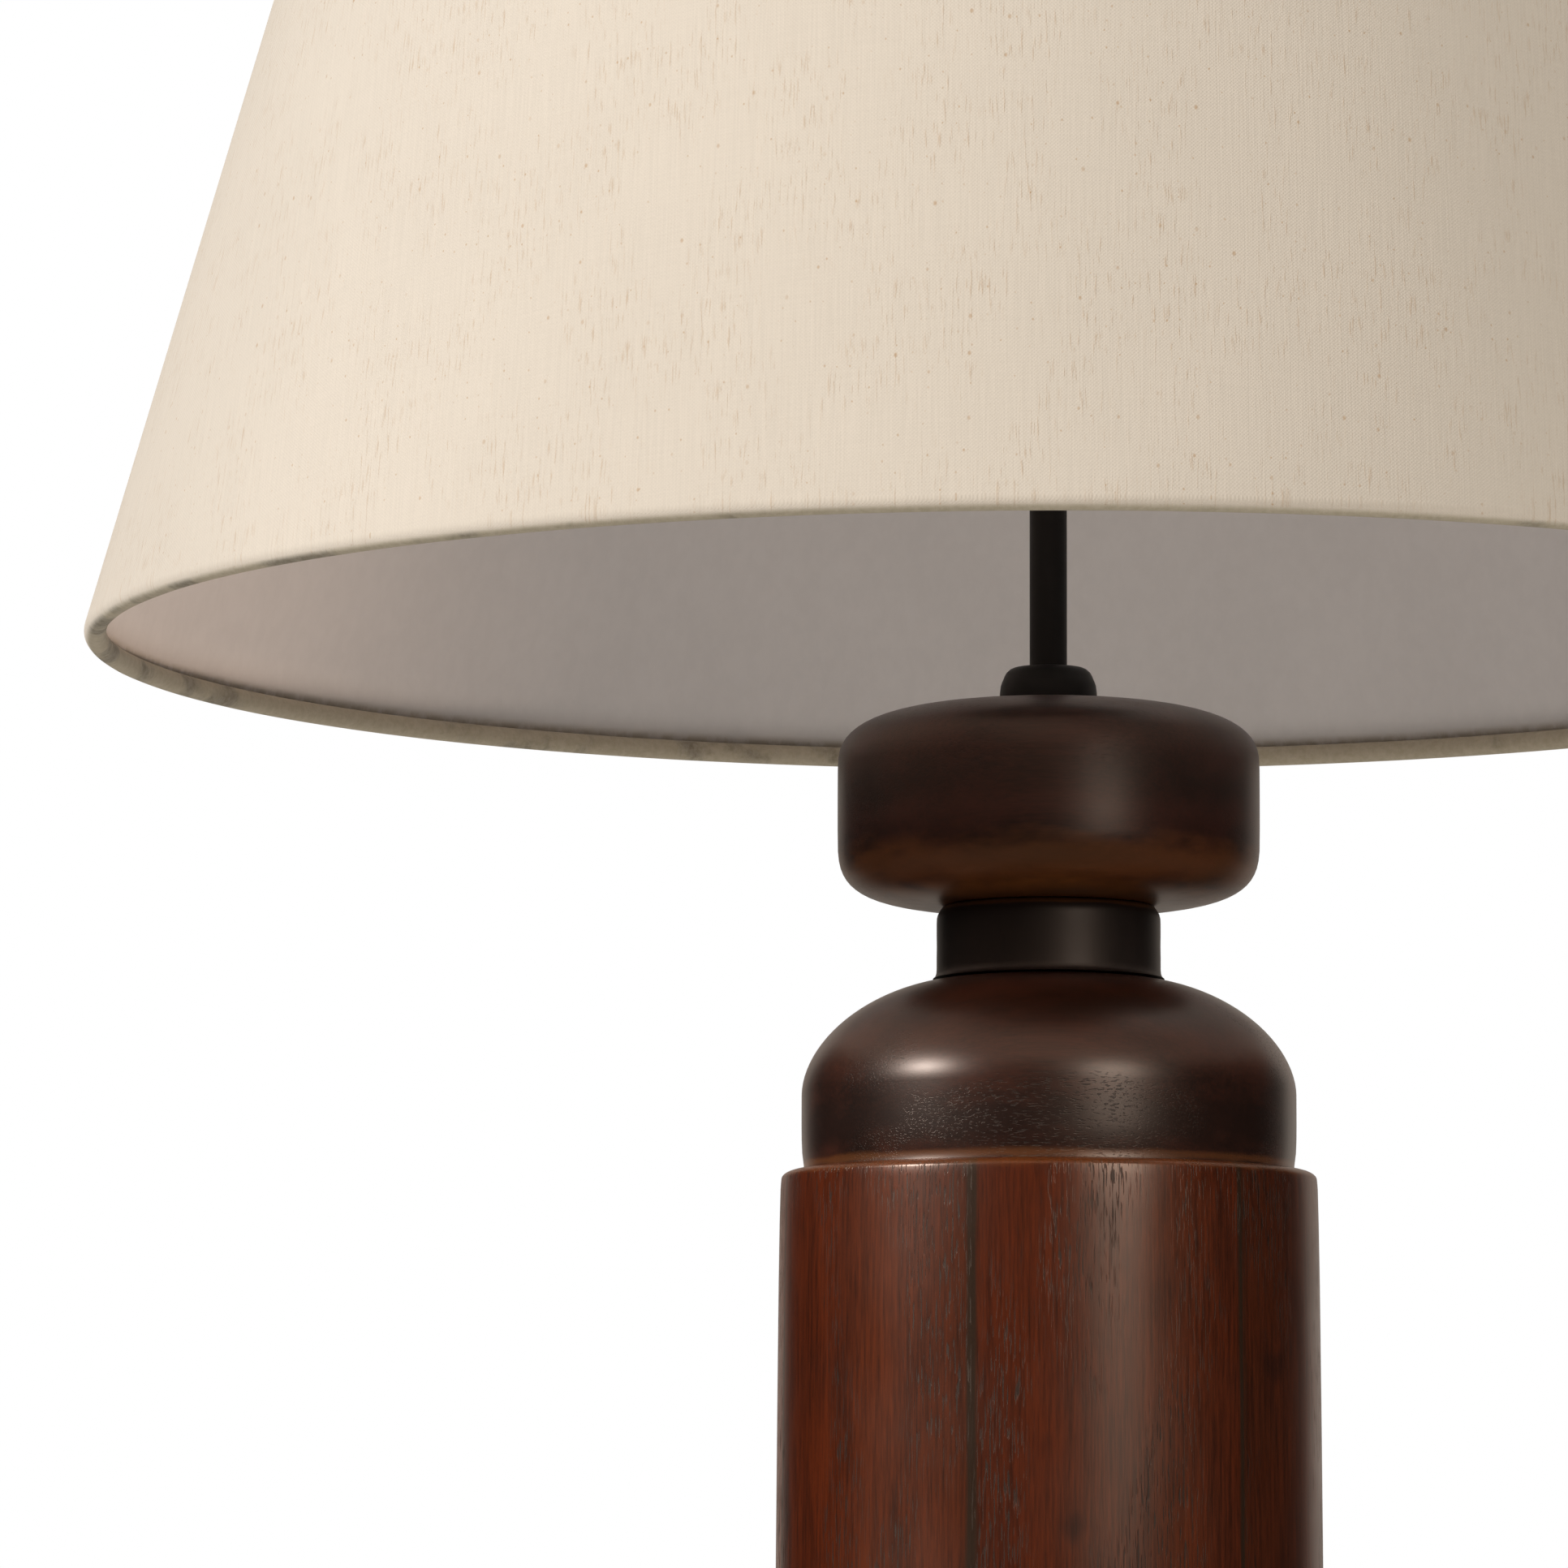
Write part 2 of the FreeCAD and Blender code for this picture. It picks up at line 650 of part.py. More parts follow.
def shade_liner():
    outer = BEAD_R - FABRIC
    inner = outer - LINER
    return turned(hem_point(LOW_BEAD, HEM_NOTCH, inner), hem_point(LOW_BEAD, HEM_NOTCH, outer),
                  hem_point(HIGH_BEAD, -HEM_NOTCH, outer), hem_point(HIGH_BEAD, -HEM_NOTCH, inner))


def hem(bead, up):
    """The hem's outline from the flap's edge round the bead to the skin's outer face."""
    skin = BEAD_R - FABRIC
    flap_out = skin - LINER
    flap_in = flap_out - FLAP
    leave = math.sqrt(BEAD_R**2 - flap_in**2)
    lean = math.atan2(flap_in, leave) + math.radians(90)
    middle = (-math.sin(0.5 * lean) * BEAD_R, -math.cos(0.5 * lean) * BEAD_R)
    return [
        hem_point(bead, up * HEM_NOTCH, skin),
        hem_point(bead, up * HEM_NOTCH, flap_out),
        hem_point(bead, up * HEM_TURN_IN, flap_out),
        hem_point(bead, up * HEM_TURN_IN, flap_in),
        hem_point(bead, up * leave, flap_in),
        (hem_point(bead, up * middle[0], middle[1]), hem_point(bead, 0, BEAD_R)),
    ]


def shade_fabric():
    """Linen skin, wrapped round both wire rings and turned in behind the liner's edges."""
    low = hem(LOW_BEAD, 1)
    high = hem(HIGH_BEAD, -1)
    arc_middle, outer_end = high[-1]
    back_down = [outer_end, (arc_middle, high[4]), *reversed(high[:4])]
    cloth = turned(low[0], *low[1:], *back_down)
    return cloth.cut(ring(LOW_BEAD, RING_R)).cut(ring(HIGH_BEAD, RING_R))


def fitter_washer():
    low = STUD_SEAT + WASHER_SEAT_GAP
    return tube(14.0, 5.5, low, low + FITTER_THICKNESS)


def spider_arm():
    """Wire arm: level from the washer, then bent up to the top ring."""
    level = STUD_SEAT + WASHER_SEAT_GAP + FITTER_THICKNESS / 2
    ring_foot = FLOOR_TO_RIM + HIGH_BEAD[1]
    bend_r = 16.0
    rise = ring_foot - level
    lean = math.radians(50)
    run = (rise - bend_r * (1 - math.cos(lean))) / math.tan(lean)
    end_x = HIGH_BEAD[0]
    bend_end = Vector(end_x - run, 0, ring_foot - run * math.tan(lean))
    bend_start = Vector(bend_end.x - bend_r * math.sin(lean), 0, level)
    half = lean / 2
    middle = bend_start + Vector(bend_r * math.sin(half), 0, bend_r * (1 - math.cos(half)))
    start = Vector(12.0, 0, level)
    path = Part.Wire([
        Part.makeLine(start, bend_start),
        Part.Arc(bend_start, middle, bend_end).toShape(),
        Part.makeLine(bend_end, Vector(end_x, 0, ring_foot)),
    ])
    section = Part.Wire(Part.makeCircle(SPIDER_WIRE_R, start, Vector(1, 0, 0)))
    arm = path.makePipeShell([section], True, True)
    return arm.cut(ring(HIGH_BEAD, BEAD_R)).cut(rod(14.0, level - 5, level + 5))


def spider_arms():
    return Part.makeCompound([turned_round(spider_arm(), 30 + i * 120) for i in range(3)])


# ---------------------------------------------------------------- finial

FINIAL_FOOT = STUD_SEAT + 2 * WASHER_SEAT_GAP + FITTER_THICKNESS


def finial_base():
    """Brass foot of the finial, threaded for the stud."""
    z = FINIAL_FOOT
    foot = turned((0, z), (8.0, z), ((8.5, z + 0.9), (8.0, z + 1.8)), (5.0, z + 2.6),
                  (4.6, z + 6.0), (4.6, z + 19.0), (0, z + 19.0))
    return foot.cut(rod(STUD_R + 0.08, z - 1, z + 15.5))


def finial_knob():
    """Turned wooden knob that echoes the puck and dome of the column."""
    z = FINIAL_FOOT + 6.0
    knob = turned(
        (0, z),
        (6.6, z),
        (6.6, z + 2.0),
        ((11.2, z + 4.2), (12.6, z + 9.0)),
        (12.6, z + 14.0),
        ((10.9, z + 18.6), (6.4, z + 20.8)),
        (0, z + 20.8),
    )
    return knob.cut(rod(4.65, z - 1, z + 13.2))


# ---------------------------------------------------------------- assembly

def build():
    add("top_puck", top_puck())
    add("neck_ring", neck_ring())
    add("shoulder_dome", shoulder_dome())
    whole = barrel()
    for i in range(STAVE_COUNT):
        start = STAVE_SEAM_DEG + i * 360.0 / STAVE_COUNT
        add(f"barrel_stave_{i + 1}", stave(whole, start))
    add("leg_block", leg_block())

    first_leg = leg()
    for i, angle in enumerate(leg_angles()):
        add(f"leg_{i + 1}", turned_round(first_leg, angle))
    add("hanger_bolts", three_of(hanger_bolt()))
    add("leg_inserts", three_of(leg_insert()))
    add("foot_glides", three_of(foot_glide()))
    add("glide_nails", three_of(glide_nail()))

    add("tie_pipe", tube(PIPE_R, PIPE_BORE_R, BLOCK_FOOT + 2.05, COLLAR_JOINT))
    add("collar", collar())
    add("riser_tube", tube(RISER_R, PIPE_BORE_R, COLLAR_JOINT + 0.05, RISER_TOP))
    recess_top = BLOCK_FOOT + RECESS_DEPTH
    washer_foot = recess_top - WASHER_THICKNESS
    add("clamp_washer", tube(12.0, PIPE_PASSAGE_R, washer_foot, recess_top))
    nut_foot = washer_foot - NUT_THICKNESS
    add("clamp_nut", hexagon(15.0, nut_foot, washer_foot, PIPE_R + THREAD_GAP))
    add("cord_bushing", cord_bushing())

    add("harp_saddle", harp_saddle())
    add("saddle_nut", hexagon(15.0, SADDLE_FOOT - 4.5, SADDLE_FOOT, RISER_R + THREAD_GAP))
    loop, wire_top = harp()
    add("harp", loop)
    add("harp_stud", harp_stud(wire_top))
    for side, name in ((-1, "harp_sleeve_left"), (1, "harp_sleeve_right")):
        top = SLEEVE_FOOT + SLEEVE_LENGTH
        add(name, tube(SLEEVE_R, SLEEVE_BORE_R, SLEEVE_FOOT, top, side * SLEEVE_X))

    add("holder_cap", holder_cap())
    add("holder_set_screw", set_screw())
    add("holder_shell", holder_shell())
    add("holder_liner", holder_liner())
    add("holder_body", holder_body())
    add("terminal_screws", terminal_screws())
    add("screw_shell", screw_shell())
    add("centre_contact", centre_contact())
    add("switch_knob", switch_knob())
    add("switch_shaft", across(SWITCH_SHAFT_R, 9.5, 30.9))
    add("switch_rotor", across(4.4, 3.5, 9.5))

    add("bulb_glass", bulb_glass())
    add("bulb_base", bulb_base())
    add("bulb_insulator", bulb_insulator())
    add("bulb_eyelet", bulb_eyelet())
    add("bulb_stem", bulb_stem())
    add("bulb_filaments", bulb_filaments())

    add("shade_fabric", shade_fabric())
    add("shade_liner", shade_liner())
    add("bottom_ring", ring(LOW_BEAD, RING_R))
    add("top_ring", ring(HIGH_BEAD, RING_R))
    add("fitter_washer", fitter_washer())
    add("spider_arms", spider_arms())
    add("finial_base", finial_base())
    add("finial_knob", finial_knob())


def main():
    os.makedirs("parts", exist_ok=True)
    build()
    for name, shape in parts.items():
        shape.exportStep(os.path.join("parts", f"{name}.step"))
    print(len(parts), "nodes")


main()
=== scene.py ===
"""Looks of a tripod floor lamp: a turned wooden column on three legs, under a linen shade.

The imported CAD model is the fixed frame. The turned wood of the column and everything of
cloth is modelled here over it; the hardware keeps its CAD shape and gets a finish.
Metres, +Z up. The origin is on the floor, on the column's axis. The front is -Y.
"""

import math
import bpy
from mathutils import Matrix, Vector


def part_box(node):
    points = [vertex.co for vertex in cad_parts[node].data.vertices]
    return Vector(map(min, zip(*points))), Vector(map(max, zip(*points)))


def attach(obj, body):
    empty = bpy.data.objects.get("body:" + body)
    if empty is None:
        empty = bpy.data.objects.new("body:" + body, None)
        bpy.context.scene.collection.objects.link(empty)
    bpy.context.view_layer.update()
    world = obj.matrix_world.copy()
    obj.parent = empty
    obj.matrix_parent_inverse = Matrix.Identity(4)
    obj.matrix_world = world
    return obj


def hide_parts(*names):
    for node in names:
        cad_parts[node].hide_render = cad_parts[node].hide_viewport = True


bl_info = {
    "name": "Tripod Floor Lamp",
    "version": (1, 0, 0),
    "blender": (4, 5, 0),
    "location": "3D View > Sidebar > Lamp",
    "description": "Builds the looks of a tripod floor lamp round its fixed frame",
    "category": "Object",
}

import bmesh
import bpy
from mathutils import Matrix, Vector, noise

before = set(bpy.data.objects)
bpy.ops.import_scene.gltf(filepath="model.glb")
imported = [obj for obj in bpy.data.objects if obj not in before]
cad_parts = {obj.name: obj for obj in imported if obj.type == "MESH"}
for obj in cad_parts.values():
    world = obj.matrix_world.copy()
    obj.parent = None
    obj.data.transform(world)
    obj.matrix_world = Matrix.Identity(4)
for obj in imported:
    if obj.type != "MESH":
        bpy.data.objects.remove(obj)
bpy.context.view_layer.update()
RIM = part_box("shade_fabric")[0].z
MM = 0.001
TAU = math.tau
RING_WIRE = 0.0018
HEM_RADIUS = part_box("bottom_ring")[1].x - RING_WIRE


def srgb(red, green, blue):
    """A linear colour from the 0 to 255 values that a paint chart gives."""
    levels = []
    for value in (red, green, blue):
        v = value / 255
        levels.append(v / 12.92 if v <= 0.04045 else ((v + 0.055) / 1.055) ** 2.4)
    return tuple(levels)


def shown(colour):
    return (*colour, 1.0)


# ---------------------------------------------------------------- settings

def colour_setting(name, description, default):
    return bpy.props.FloatVectorProperty(
        name=name, description=description, subtype="COLOR", size=3, min=0, max=1, default=default
    )


def length_setting(name, description, default):
    return bpy.props.FloatProperty(
        name=name, description=description, subtype="DISTANCE", unit="LENGTH", default=default
    )


class ShadeSettings(bpy.types.PropertyGroup):
    linen: colour_setting("Linen", "Ground colour of the linen", srgb(231, 219, 204))
    slub: colour_setting("Slubs", "Colour of the darker, thicker threads", srgb(186, 146, 100))
    lining: colour_setting("Lining", "Colour of the lining", srgb(232, 228, 227))
    # The hem colour paints shade on the bead's underside, inside the lower ring and on the lining's
    # edge next to it, with paste marks in its mottles.
    hem: colour_setting("Hem", "Dulled cloth of the rolled hems", srgb(184, 173, 150))
    thread: length_setting("Thread spacing", "Distance between neighbouring threads", 0.00046)
    cloth: length_setting("Linen thickness", "Thickness of the linen", 0.0009)
    card: length_setting("Lining thickness", "Thickness of the lining", 0.0007)
    lap: length_setting("Seam lap", "Width of the glued lap at the back", 0.012)


class ColumnSettings(bpy.types.PropertyGroup):
    puck: colour_setting("Puck", "Stain of the puck", srgb(40, 15, 9))
    dome: colour_setting("Dome", "Stain of the shoulder dome", srgb(49, 21, 11))
    neck: colour_setting("Neck", "Stain of the neck ring", srgb(22, 15, 14))
    barrel: colour_setting("Barrel", "Ground stain of the barrel", srgb(84, 36, 11))
    worn: colour_setting("Worn edges", "Wood where the stain is rubbed thin", srgb(150, 88, 32))


class HardwareSettings(bpy.types.PropertyGroup):
    black: colour_setting("Black coat", "Powder coat of the rod and collar", srgb(17, 14, 13))
    nickel: colour_setting("Nickel", "Plating of the harp and spider", srgb(200, 197, 190))
    brass: colour_setting("Brass", "Finial foot and contacts", srgb(206, 165, 92))
    glass: colour_setting("Opal glass", "Bulb envelope", srgb(244, 241, 233))


class StageSettings(bpy.types.PropertyGroup):
    floor: colour_setting("Floor", "Colour of the floor", srgb(236, 234, 231))
    lens: bpy.props.FloatProperty(
        name="Lens", description="Focal length on a 36 mm sensor, in millimetres",
        unit="CAMERA", default=158.68,
    )
    distance: length_setting("Distance", "From the column's axis to the camera", 1.8152)
    below: length_setting("Below the rim", "Camera's height below the shade's rim", 0.2455)
    pitch: bpy.props.FloatProperty(
        name="Pitch", description="How far the camera looks up", subtype="ANGLE",
        default=math.radians(6.652),
    )
    pan: bpy.props.FloatProperty(
        name="Pan", description="How far the camera looks to the left", subtype="ANGLE",
        default=math.radians(2.206),
    )
    roll: bpy.props.FloatProperty(
        name="Roll", description="How far the camera leans to its left", subtype="ANGLE",
        default=math.radians(0.209),
    )


# ---------------------------------------------------------------- mesh helpers

def shoulder(inner, outer, power, steps=18):
    """A full, squarish shoulder from a level edge at inner to an upright one at outer."""
    points = []
    for i in range(steps + 1):
        t = math.pi / 2 * i / steps
        across = math.sin(t) ** (2 / power)
        down = max(0.0, math.cos(t)) ** (2 / power)
        r = inner[0] + (outer[0] - inner[0]) * across
        points.append((r, outer[1] + (inner[1] - outer[1]) * down))
    return points


def below_rim(points):
    """Profile points in metres from (radius, height over the rim) in millimetres."""
    return [Vector((r * MM, 0, RIM + z * MM)) for r, z in points]


def profile_mesh(points, closed):
    mesh = bmesh.new()
    verts = [mesh.verts.new(p) for p in points]
    for a, b in zip(verts, verts[1:]):
        mesh.edges.new((a, b))
    if closed:
        mesh.edges.new((verts[-1], verts[0]))
    return mesh


def spin(mesh, steps, angle=TAU):
    """Turns everything in the mesh about the lamp's axis."""
    bmesh.ops.spin(
        mesh, geom=mesh.verts[:] + mesh.edges[:] + mesh.faces[:], cent=(0, 0, 0),
        axis=(0, 0, 1), dvec=(0, 0, 0), angle=angle, steps=steps,
        use_merge=abs(angle - TAU) < 1e-6, use_normal_flip=False, use_duplicate=False,
    )
    bmesh.ops.remove_doubles(mesh, verts=mesh.verts, dist=1e-7)
    bmesh.ops.recalc_face_normals(mesh, faces=mesh.faces)


def soften_shading(mesh, limit_deg):
    """Smooth shading, broken only where two faces meet more sharply than the limit."""
    for face in mesh.faces:
        face.smooth = True
    for edge in mesh.edges:
        if len(edge.link_faces) == 2:
            edge.smooth = edge.calc_face_angle(0) < math.radians(limit_deg)


def placed(name, data):
    made = bpy.data.objects.new(name, data)
    bpy.context.collection.objects.link(made)
    return made


def piece(name, mesh, body, nodes, material, crease_deg=38):
    """Finishes a mesh as a named piece that rides on a body and stands for CAD nodes."""
    soften_shading(mesh, crease_deg)
    data = bpy.data.meshes.new(name)
    mesh.to_mesh(data)
    mesh.free()
    made = placed(name, data)
    data.materials.append(material)
    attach(made, body)
    if nodes:
        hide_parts(*nodes)
    return made


def finish_nodes(material, *names):
    """Gives CAD nodes a new finish."""
    for name in names:
        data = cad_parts[name].data
        data.materials.clear()
        data.materials.append(material)


# ---------------------------------------------------------------- shader helpers

def feed(tree, node, inputs):
    """Puts a value or a link on each of the named inputs of a node."""
    for key, value in inputs.items():
        if isinstance(value, bpy.types.NodeSocket):
            tree.links.new(value, node.inputs[key])
        else:
            node.inputs[key].default_value = value


def put(tree, kind, inputs, **settings):
    made = tree.nodes.new(kind)
    for key, value in settings.items():
        setattr(made, key, value)
    feed(tree, made, inputs)
    return made


def maths(tree, operation, *values, clamp=False):
    inputs = dict(enumerate(values))
    return put(tree, "ShaderNodeMath", inputs, operation=operation, use_clamp=clamp).outputs[0]


def plus(tree, a, b, clamp=False):
    return maths(tree, "ADD", a, b, clamp=clamp)


def times(tree, a, b):
    return maths(tree, "MULTIPLY", a, b)


def swing(tree, value, gain):
    """A value between 0 and 1, moved to lie round zero and scaled."""
    return times(tree, maths(tree, "SUBTRACT", value, 0.5), gain)


def vector_maths(tree, operation, inputs):
    return put(tree, "ShaderNodeVectorMath", inputs, operation=operation).outputs


def scaled(tree, vector, factors):
    return vector_maths(tree, "MULTIPLY", {0: vector, 1: factors})[0]


def dimmed(tree, colour, factor):
    return vector_maths(tree, "SCALE", {0: colour, "Scale": factor})[0]


def level_reach(tree, place):
    """Distance from the upright axis."""
    return vector_maths(tree, "LENGTH", {0: scaled(tree, place, (1.0, 1.0, 0.0))})["Value"]


def part_of(tree, vector, axis):
    return put(tree, "ShaderNodeSeparateXYZ", {0: vector}).outputs[axis]


def object_coords(tree):
    return tree.nodes.new("ShaderNodeTexCoord").outputs["Object"]


def noise_on(tree, vector, scale=1.0, detail=2.0, roughness=0.5):
    return put(
        tree, "ShaderNodeTexNoise",
        {"Vector": vector, "Scale": scale, "Detail": detail, "Roughness": roughness},
    ).outputs["Fac"]


def mapped(tree, value, low, high, new_low=0.0, new_high=1.0):
    return put(
        tree, "ShaderNodeMapRange",
        {"Value": value, "From Min": low, "From Max": high, "To Min": new_low, "To Max": new_high},
        interpolation_type="SMOOTHSTEP",
    ).outputs[0]


def mixed(tree, factor, a, b, blend="MIX"):
    node = tree.nodes.new("ShaderNodeMix")
    node.data_type = "RGBA"
    node.blend_type = blend
    feed(tree, node, {0: factor, 6: a, 7: b})
    return node.outputs[2]


def group(name, inputs, outputs):
    """An empty shader node group with named sockets. Gives the tree, its input and output."""
    tree = bpy.data.node_groups.new(name, "ShaderNodeTree")
    kinds = {"f": "NodeSocketFloat", "c": "NodeSocketColor", "v": "NodeSocketVector"}
    for socket, kind, default in inputs:
        made = tree.interface.new_socket(name=socket, in_out="INPUT", socket_type=kinds[kind])
        if default is not None:
            made.default_value = default
    for socket, kind in outputs:
        tree.interface.new_socket(name=socket, in_out="OUTPUT", socket_type=kinds[kind])
    return tree, tree.nodes.new("NodeGroupInput").outputs, tree.nodes.new("NodeGroupOutput")


def use(tree, name, inputs):
    made = tree.nodes.new("ShaderNodeGroup")
    made.node_tree = bpy.data.node_groups[name]
    feed(tree, made, inputs)
    return made.outputs


def material(name):
    """A new node material. Gives it, its tree and its Principled BSDF."""
    made = bpy.data.materials.new(name)
    made.use_nodes = True
    return made, made.node_tree, made.node_tree.nodes["Principled BSDF"]


def bumped(tree, shader, height, distance, strength=1.0):
    inputs = {"Height": height, "Distance": distance, "Strength": strength}
    feed(tree, shader, {"Normal": put(tree, "ShaderNodeBump", inputs).outputs[0]})


# ---------------------------------------------------------------- shared effects

HAIR_STRENGTH = 1.1
PORE_COLOUR = (0.006, 0.0035, 0.002, 1)


def build_timber_group():
    """Grain, growth rings and open pores of a hardwood whose fibres run along Z."""
    tree, given, result = group(
        "timber",
        [
            ("Place", "v", None),
            ("Dark", "c", (0.02, 0.008, 0.004, 1)),
            ("Light", "c", (0.1, 0.04, 0.015, 1)),
            ("Ring Spacing", "f", 0.012),
            ("Ring Strength", "f", 0.3),
            ("Streak Strength", "f", 0.5),
            ("Pore Strength", "f", 0.6),
            ("Mottle", "f", 0.6),
            ("Pore Pitch", "f", 150.0),
        ],
        [("Colour", "c"), ("Height", "f"), ("Pores", "f")],
    )
    place = given["Place"]
    slow = scaled(tree, place, (1.0, 1.0, 0.14))
    sway = put(tree, "ShaderNodeTexNoise", {"Vector": slow, "Scale": 16.0, "Detail": 2.0})
    offset = scaled(tree, sway.outputs["Color"], (0.022, 0.022, 0.0))
    bent = vector_maths(tree, "ADD", {0: place, 1: offset})[0]
    turn = maths(tree, "DIVIDE", level_reach(tree, bent), given["Ring Spacing"])
    wave = maths(tree, "SINE", times(tree, turn, TAU))
    bands = noise_on(tree, scaled(tree, bent, (46.0, 46.0, 2.4)), detail=3.0)
    streaks = noise_on(
        tree, scaled(tree, place, (1150.0, 1150.0, 42.0)), detail=4.0, roughness=0.66
    )
    hairs = noise_on(tree, scaled(tree, place, (3600.0, 3600.0, 170.0)), detail=2.0)
    mottle = noise_on(tree, scaled(tree, place, (62.0, 62.0, 26.0)), detail=3.0, roughness=0.55)
    figure = maths(tree, "MULTIPLY_ADD", wave, given["Ring Strength"], 0.5)
    figure = plus(tree, figure, swing(tree, bands, 1.0))
    figure = plus(tree, figure, swing(tree, streaks, given["Streak Strength"]))
    figure = plus(tree, figure, swing(tree, hairs, HAIR_STRENGTH))
    figure = plus(tree, figure, swing(tree, mottle, given["Mottle"]), clamp=True)
    colour = mixed(tree, figure, given["Dark"], given["Light"])

    fine = put(tree, "ShaderNodeCombineXYZ", {0: 2300.0, 1: 2300.0, 2: given["Pore Pitch"]})
    dashes = noise_on(tree, scaled(tree, place, fine.outputs[0]), detail=1.0)
    patches = noise_on(tree, scaled(tree, place, (36.0, 36.0, 12.0)), detail=2.0)
    pores = times(tree, mapped(tree, dashes, 0.57, 0.66), mapped(tree, patches, 0.46, 0.62))
    pores = times(tree, pores, given["Pore Strength"])
    colour = mixed(tree, pores, colour, PORE_COLOUR)
    height = maths(tree, "SUBTRACT", times(tree, streaks, 0.25), pores)
    feed(tree, result, {"Colour": colour, "Height": height, "Pores": pores})


def build_wear_and_shade_band_group():
    """A ragged level band at one height: stain rubbed thin by handling, painted shade on the dome's
    lower side, and part of the painted highlight on the barrel's top corner.
    """
    tree, given, result = group(
        "wear_and_shade_band",
        [
            ("Place", "v", None),
            ("Height", "f", 1.0),
            ("Width", "f", 0.002),
            ("Raggedness", "f", 0.5),
        ],
        [("Mask", "f")],
    )
    place = given["Place"]
    above = maths(tree, "SUBTRACT", part_of(tree, place, "Z"), given["Height"])
    away = maths(tree, "DIVIDE", maths(tree, "ABSOLUTE", above), given["Width"])
    near = maths(tree, "SUBTRACT", 1.0, away, clamp=True)
    rag = noise_on(tree, scaled(tree, place, (90.0, 90.0, 260.0)), detail=4.0)
    rag = times(tree, swing(tree, rag, given["Raggedness"]), 2.0)
    mask = mapped(tree, plus(tree, near, rag), 0.15, 0.9)
    mask = times(tree, mask, mapped(tree, near, 0.0, 0.15))
    feed(tree, result, {"Mask": mask})


def build_handled_group():
    """Faint cloudiness and hairline marks of a hard surface in use."""
    tree, given, result = group(
        "handled",
        [
            ("Place", "v", None),
            ("Roughness", "f", 0.4),
            ("Spread", "f", 0.1),
            ("Grain", "f", 900.0),
        ],
        [("Roughness", "f"), ("Shade", "f"), ("Height", "f")],
    )
    cloud = noise_on(tree, given["Place"], scale=38.0, detail=4.0)
    grain = noise_on(tree, given["Place"], scale=given["Grain"])
    change = times(tree, swing(tree, cloud, given["Spread"]), 2.0)
    rough = plus(tree, given["Roughness"], change, clamp=True)
    shade = mapped(tree, cloud, 0.3, 0.7, 0.86, 1.0)
    feed(tree, result, {"Roughness": rough, "Shade": shade, "Height": grain})


def build_weave_group():
    """Plain weave with uneven threads, thick slubs and husk specks, on a flat pattern in metres."""
    tree, given, result = group(
        "weave",
        [
            ("Flat", "v", None),
            ("Ground", "c", (0.8, 0.7, 0.6, 1)),
            ("Slub Colour", "c", (0.4, 0.25, 0.12, 1)),
            ("Thread", "f", 0.00046),
        ],
        [("Colour", "c"), ("Height", "f")],
    )
    flat = given["Flat"]
    ridges = []
    for axis in ("X", "Y"):
        turns = maths(tree, "DIVIDE", part_of(tree, flat, axis), given["Thread"])
        ridges.append(maths(tree, "SINE", times(tree, turns, math.pi)))
    crossing = times(tree, *ridges)
    warp = noise_on(tree, scaled(tree, flat, (2100.0, 40.0, 1.0)), detail=2.0)
    weft = noise_on(tree, scaled(tree, flat, (60.0, 2100.0, 1.0)), detail=2.0)
    uneven = plus(tree, warp, times(tree, weft, 0.45))
    slubs = noise_on(tree, scaled(tree, flat, (1600.0, 130.0, 1.0)), detail=2.0, roughness=0.6)
    patches = noise_on(tree, scaled(tree, flat, (60.0, 30.0, 1.0)), detail=1.0)
    slub = times(tree, mapped(tree, slubs, 0.54, 0.74), mapped(tree, patches, 0.36, 0.60))
    large = speck_mask(tree, flat, (115.0, 78.0, 1.0), 0.07)
    small = speck_mask(tree, flat, (290.0, 210.0, 1.0), 0.10)
    speck = plus(tree, large, small, clamp=True)

    cloudy = noise_on(tree, scaled(tree, flat, (11.0, 7.0, 1.0)), detail=3.0)
    light = mapped(tree, uneven, 0.50, 0.95, 0.95, 1.0)
    light = times(tree, light, mapped(tree, cloudy, 0.3, 0.7, 0.97, 1.0))
    light = times(tree, light, mapped(tree, crossing, -1.0, 1.0, 0.965, 1.0))
    ground = dimmed(tree, given["Ground"], light)
    marks = plus(tree, times(tree, slub, 0.36), times(tree, speck, 0.55))
    colour = mixed(tree, maths(tree, "MINIMUM", marks, 0.9), ground, given["Slub Colour"])
    height = maths(tree, "MULTIPLY_ADD", crossing, 0.35, uneven)
    height = plus(tree, height, times(tree, slub, 0.8))
    feed(tree, result, {"Colour": colour, "Height": height})


def speck_mask(tree, flat, scale, reach):
    """Scattered small flecks: one cell of the pattern in a few holds one, each its own size."""
    cells = put(
        tree, "ShaderNodeTexVoronoi", {"Vector": scaled(tree, flat, scale), "Scale": 1.0},
        voronoi_dimensions="2D",
    )
    chance = part_of(tree, cells.outputs["Color"], "X")
    strength = part_of(tree, cells.outputs["Color"], "Y")
    size = plus(tree, times(tree, mapped(tree, chance, 0.45, 1.0), reach), 0.0001)
    inside = maths(tree, "DIVIDE", cells.outputs["Distance"], size)
    return times(
        tree, mapped(tree, inside, 1.0, 0.3), mapped(tree, strength, 0.0, 1.0, 0.3, 1.0)
    )


# ---------------------------------------------------------------- finishes

WARM_GLOSS = (1.0, 0.79, 0.68)
COAT_ROUGHNESS = 0.30
PORE_DULLNESS = 0.3


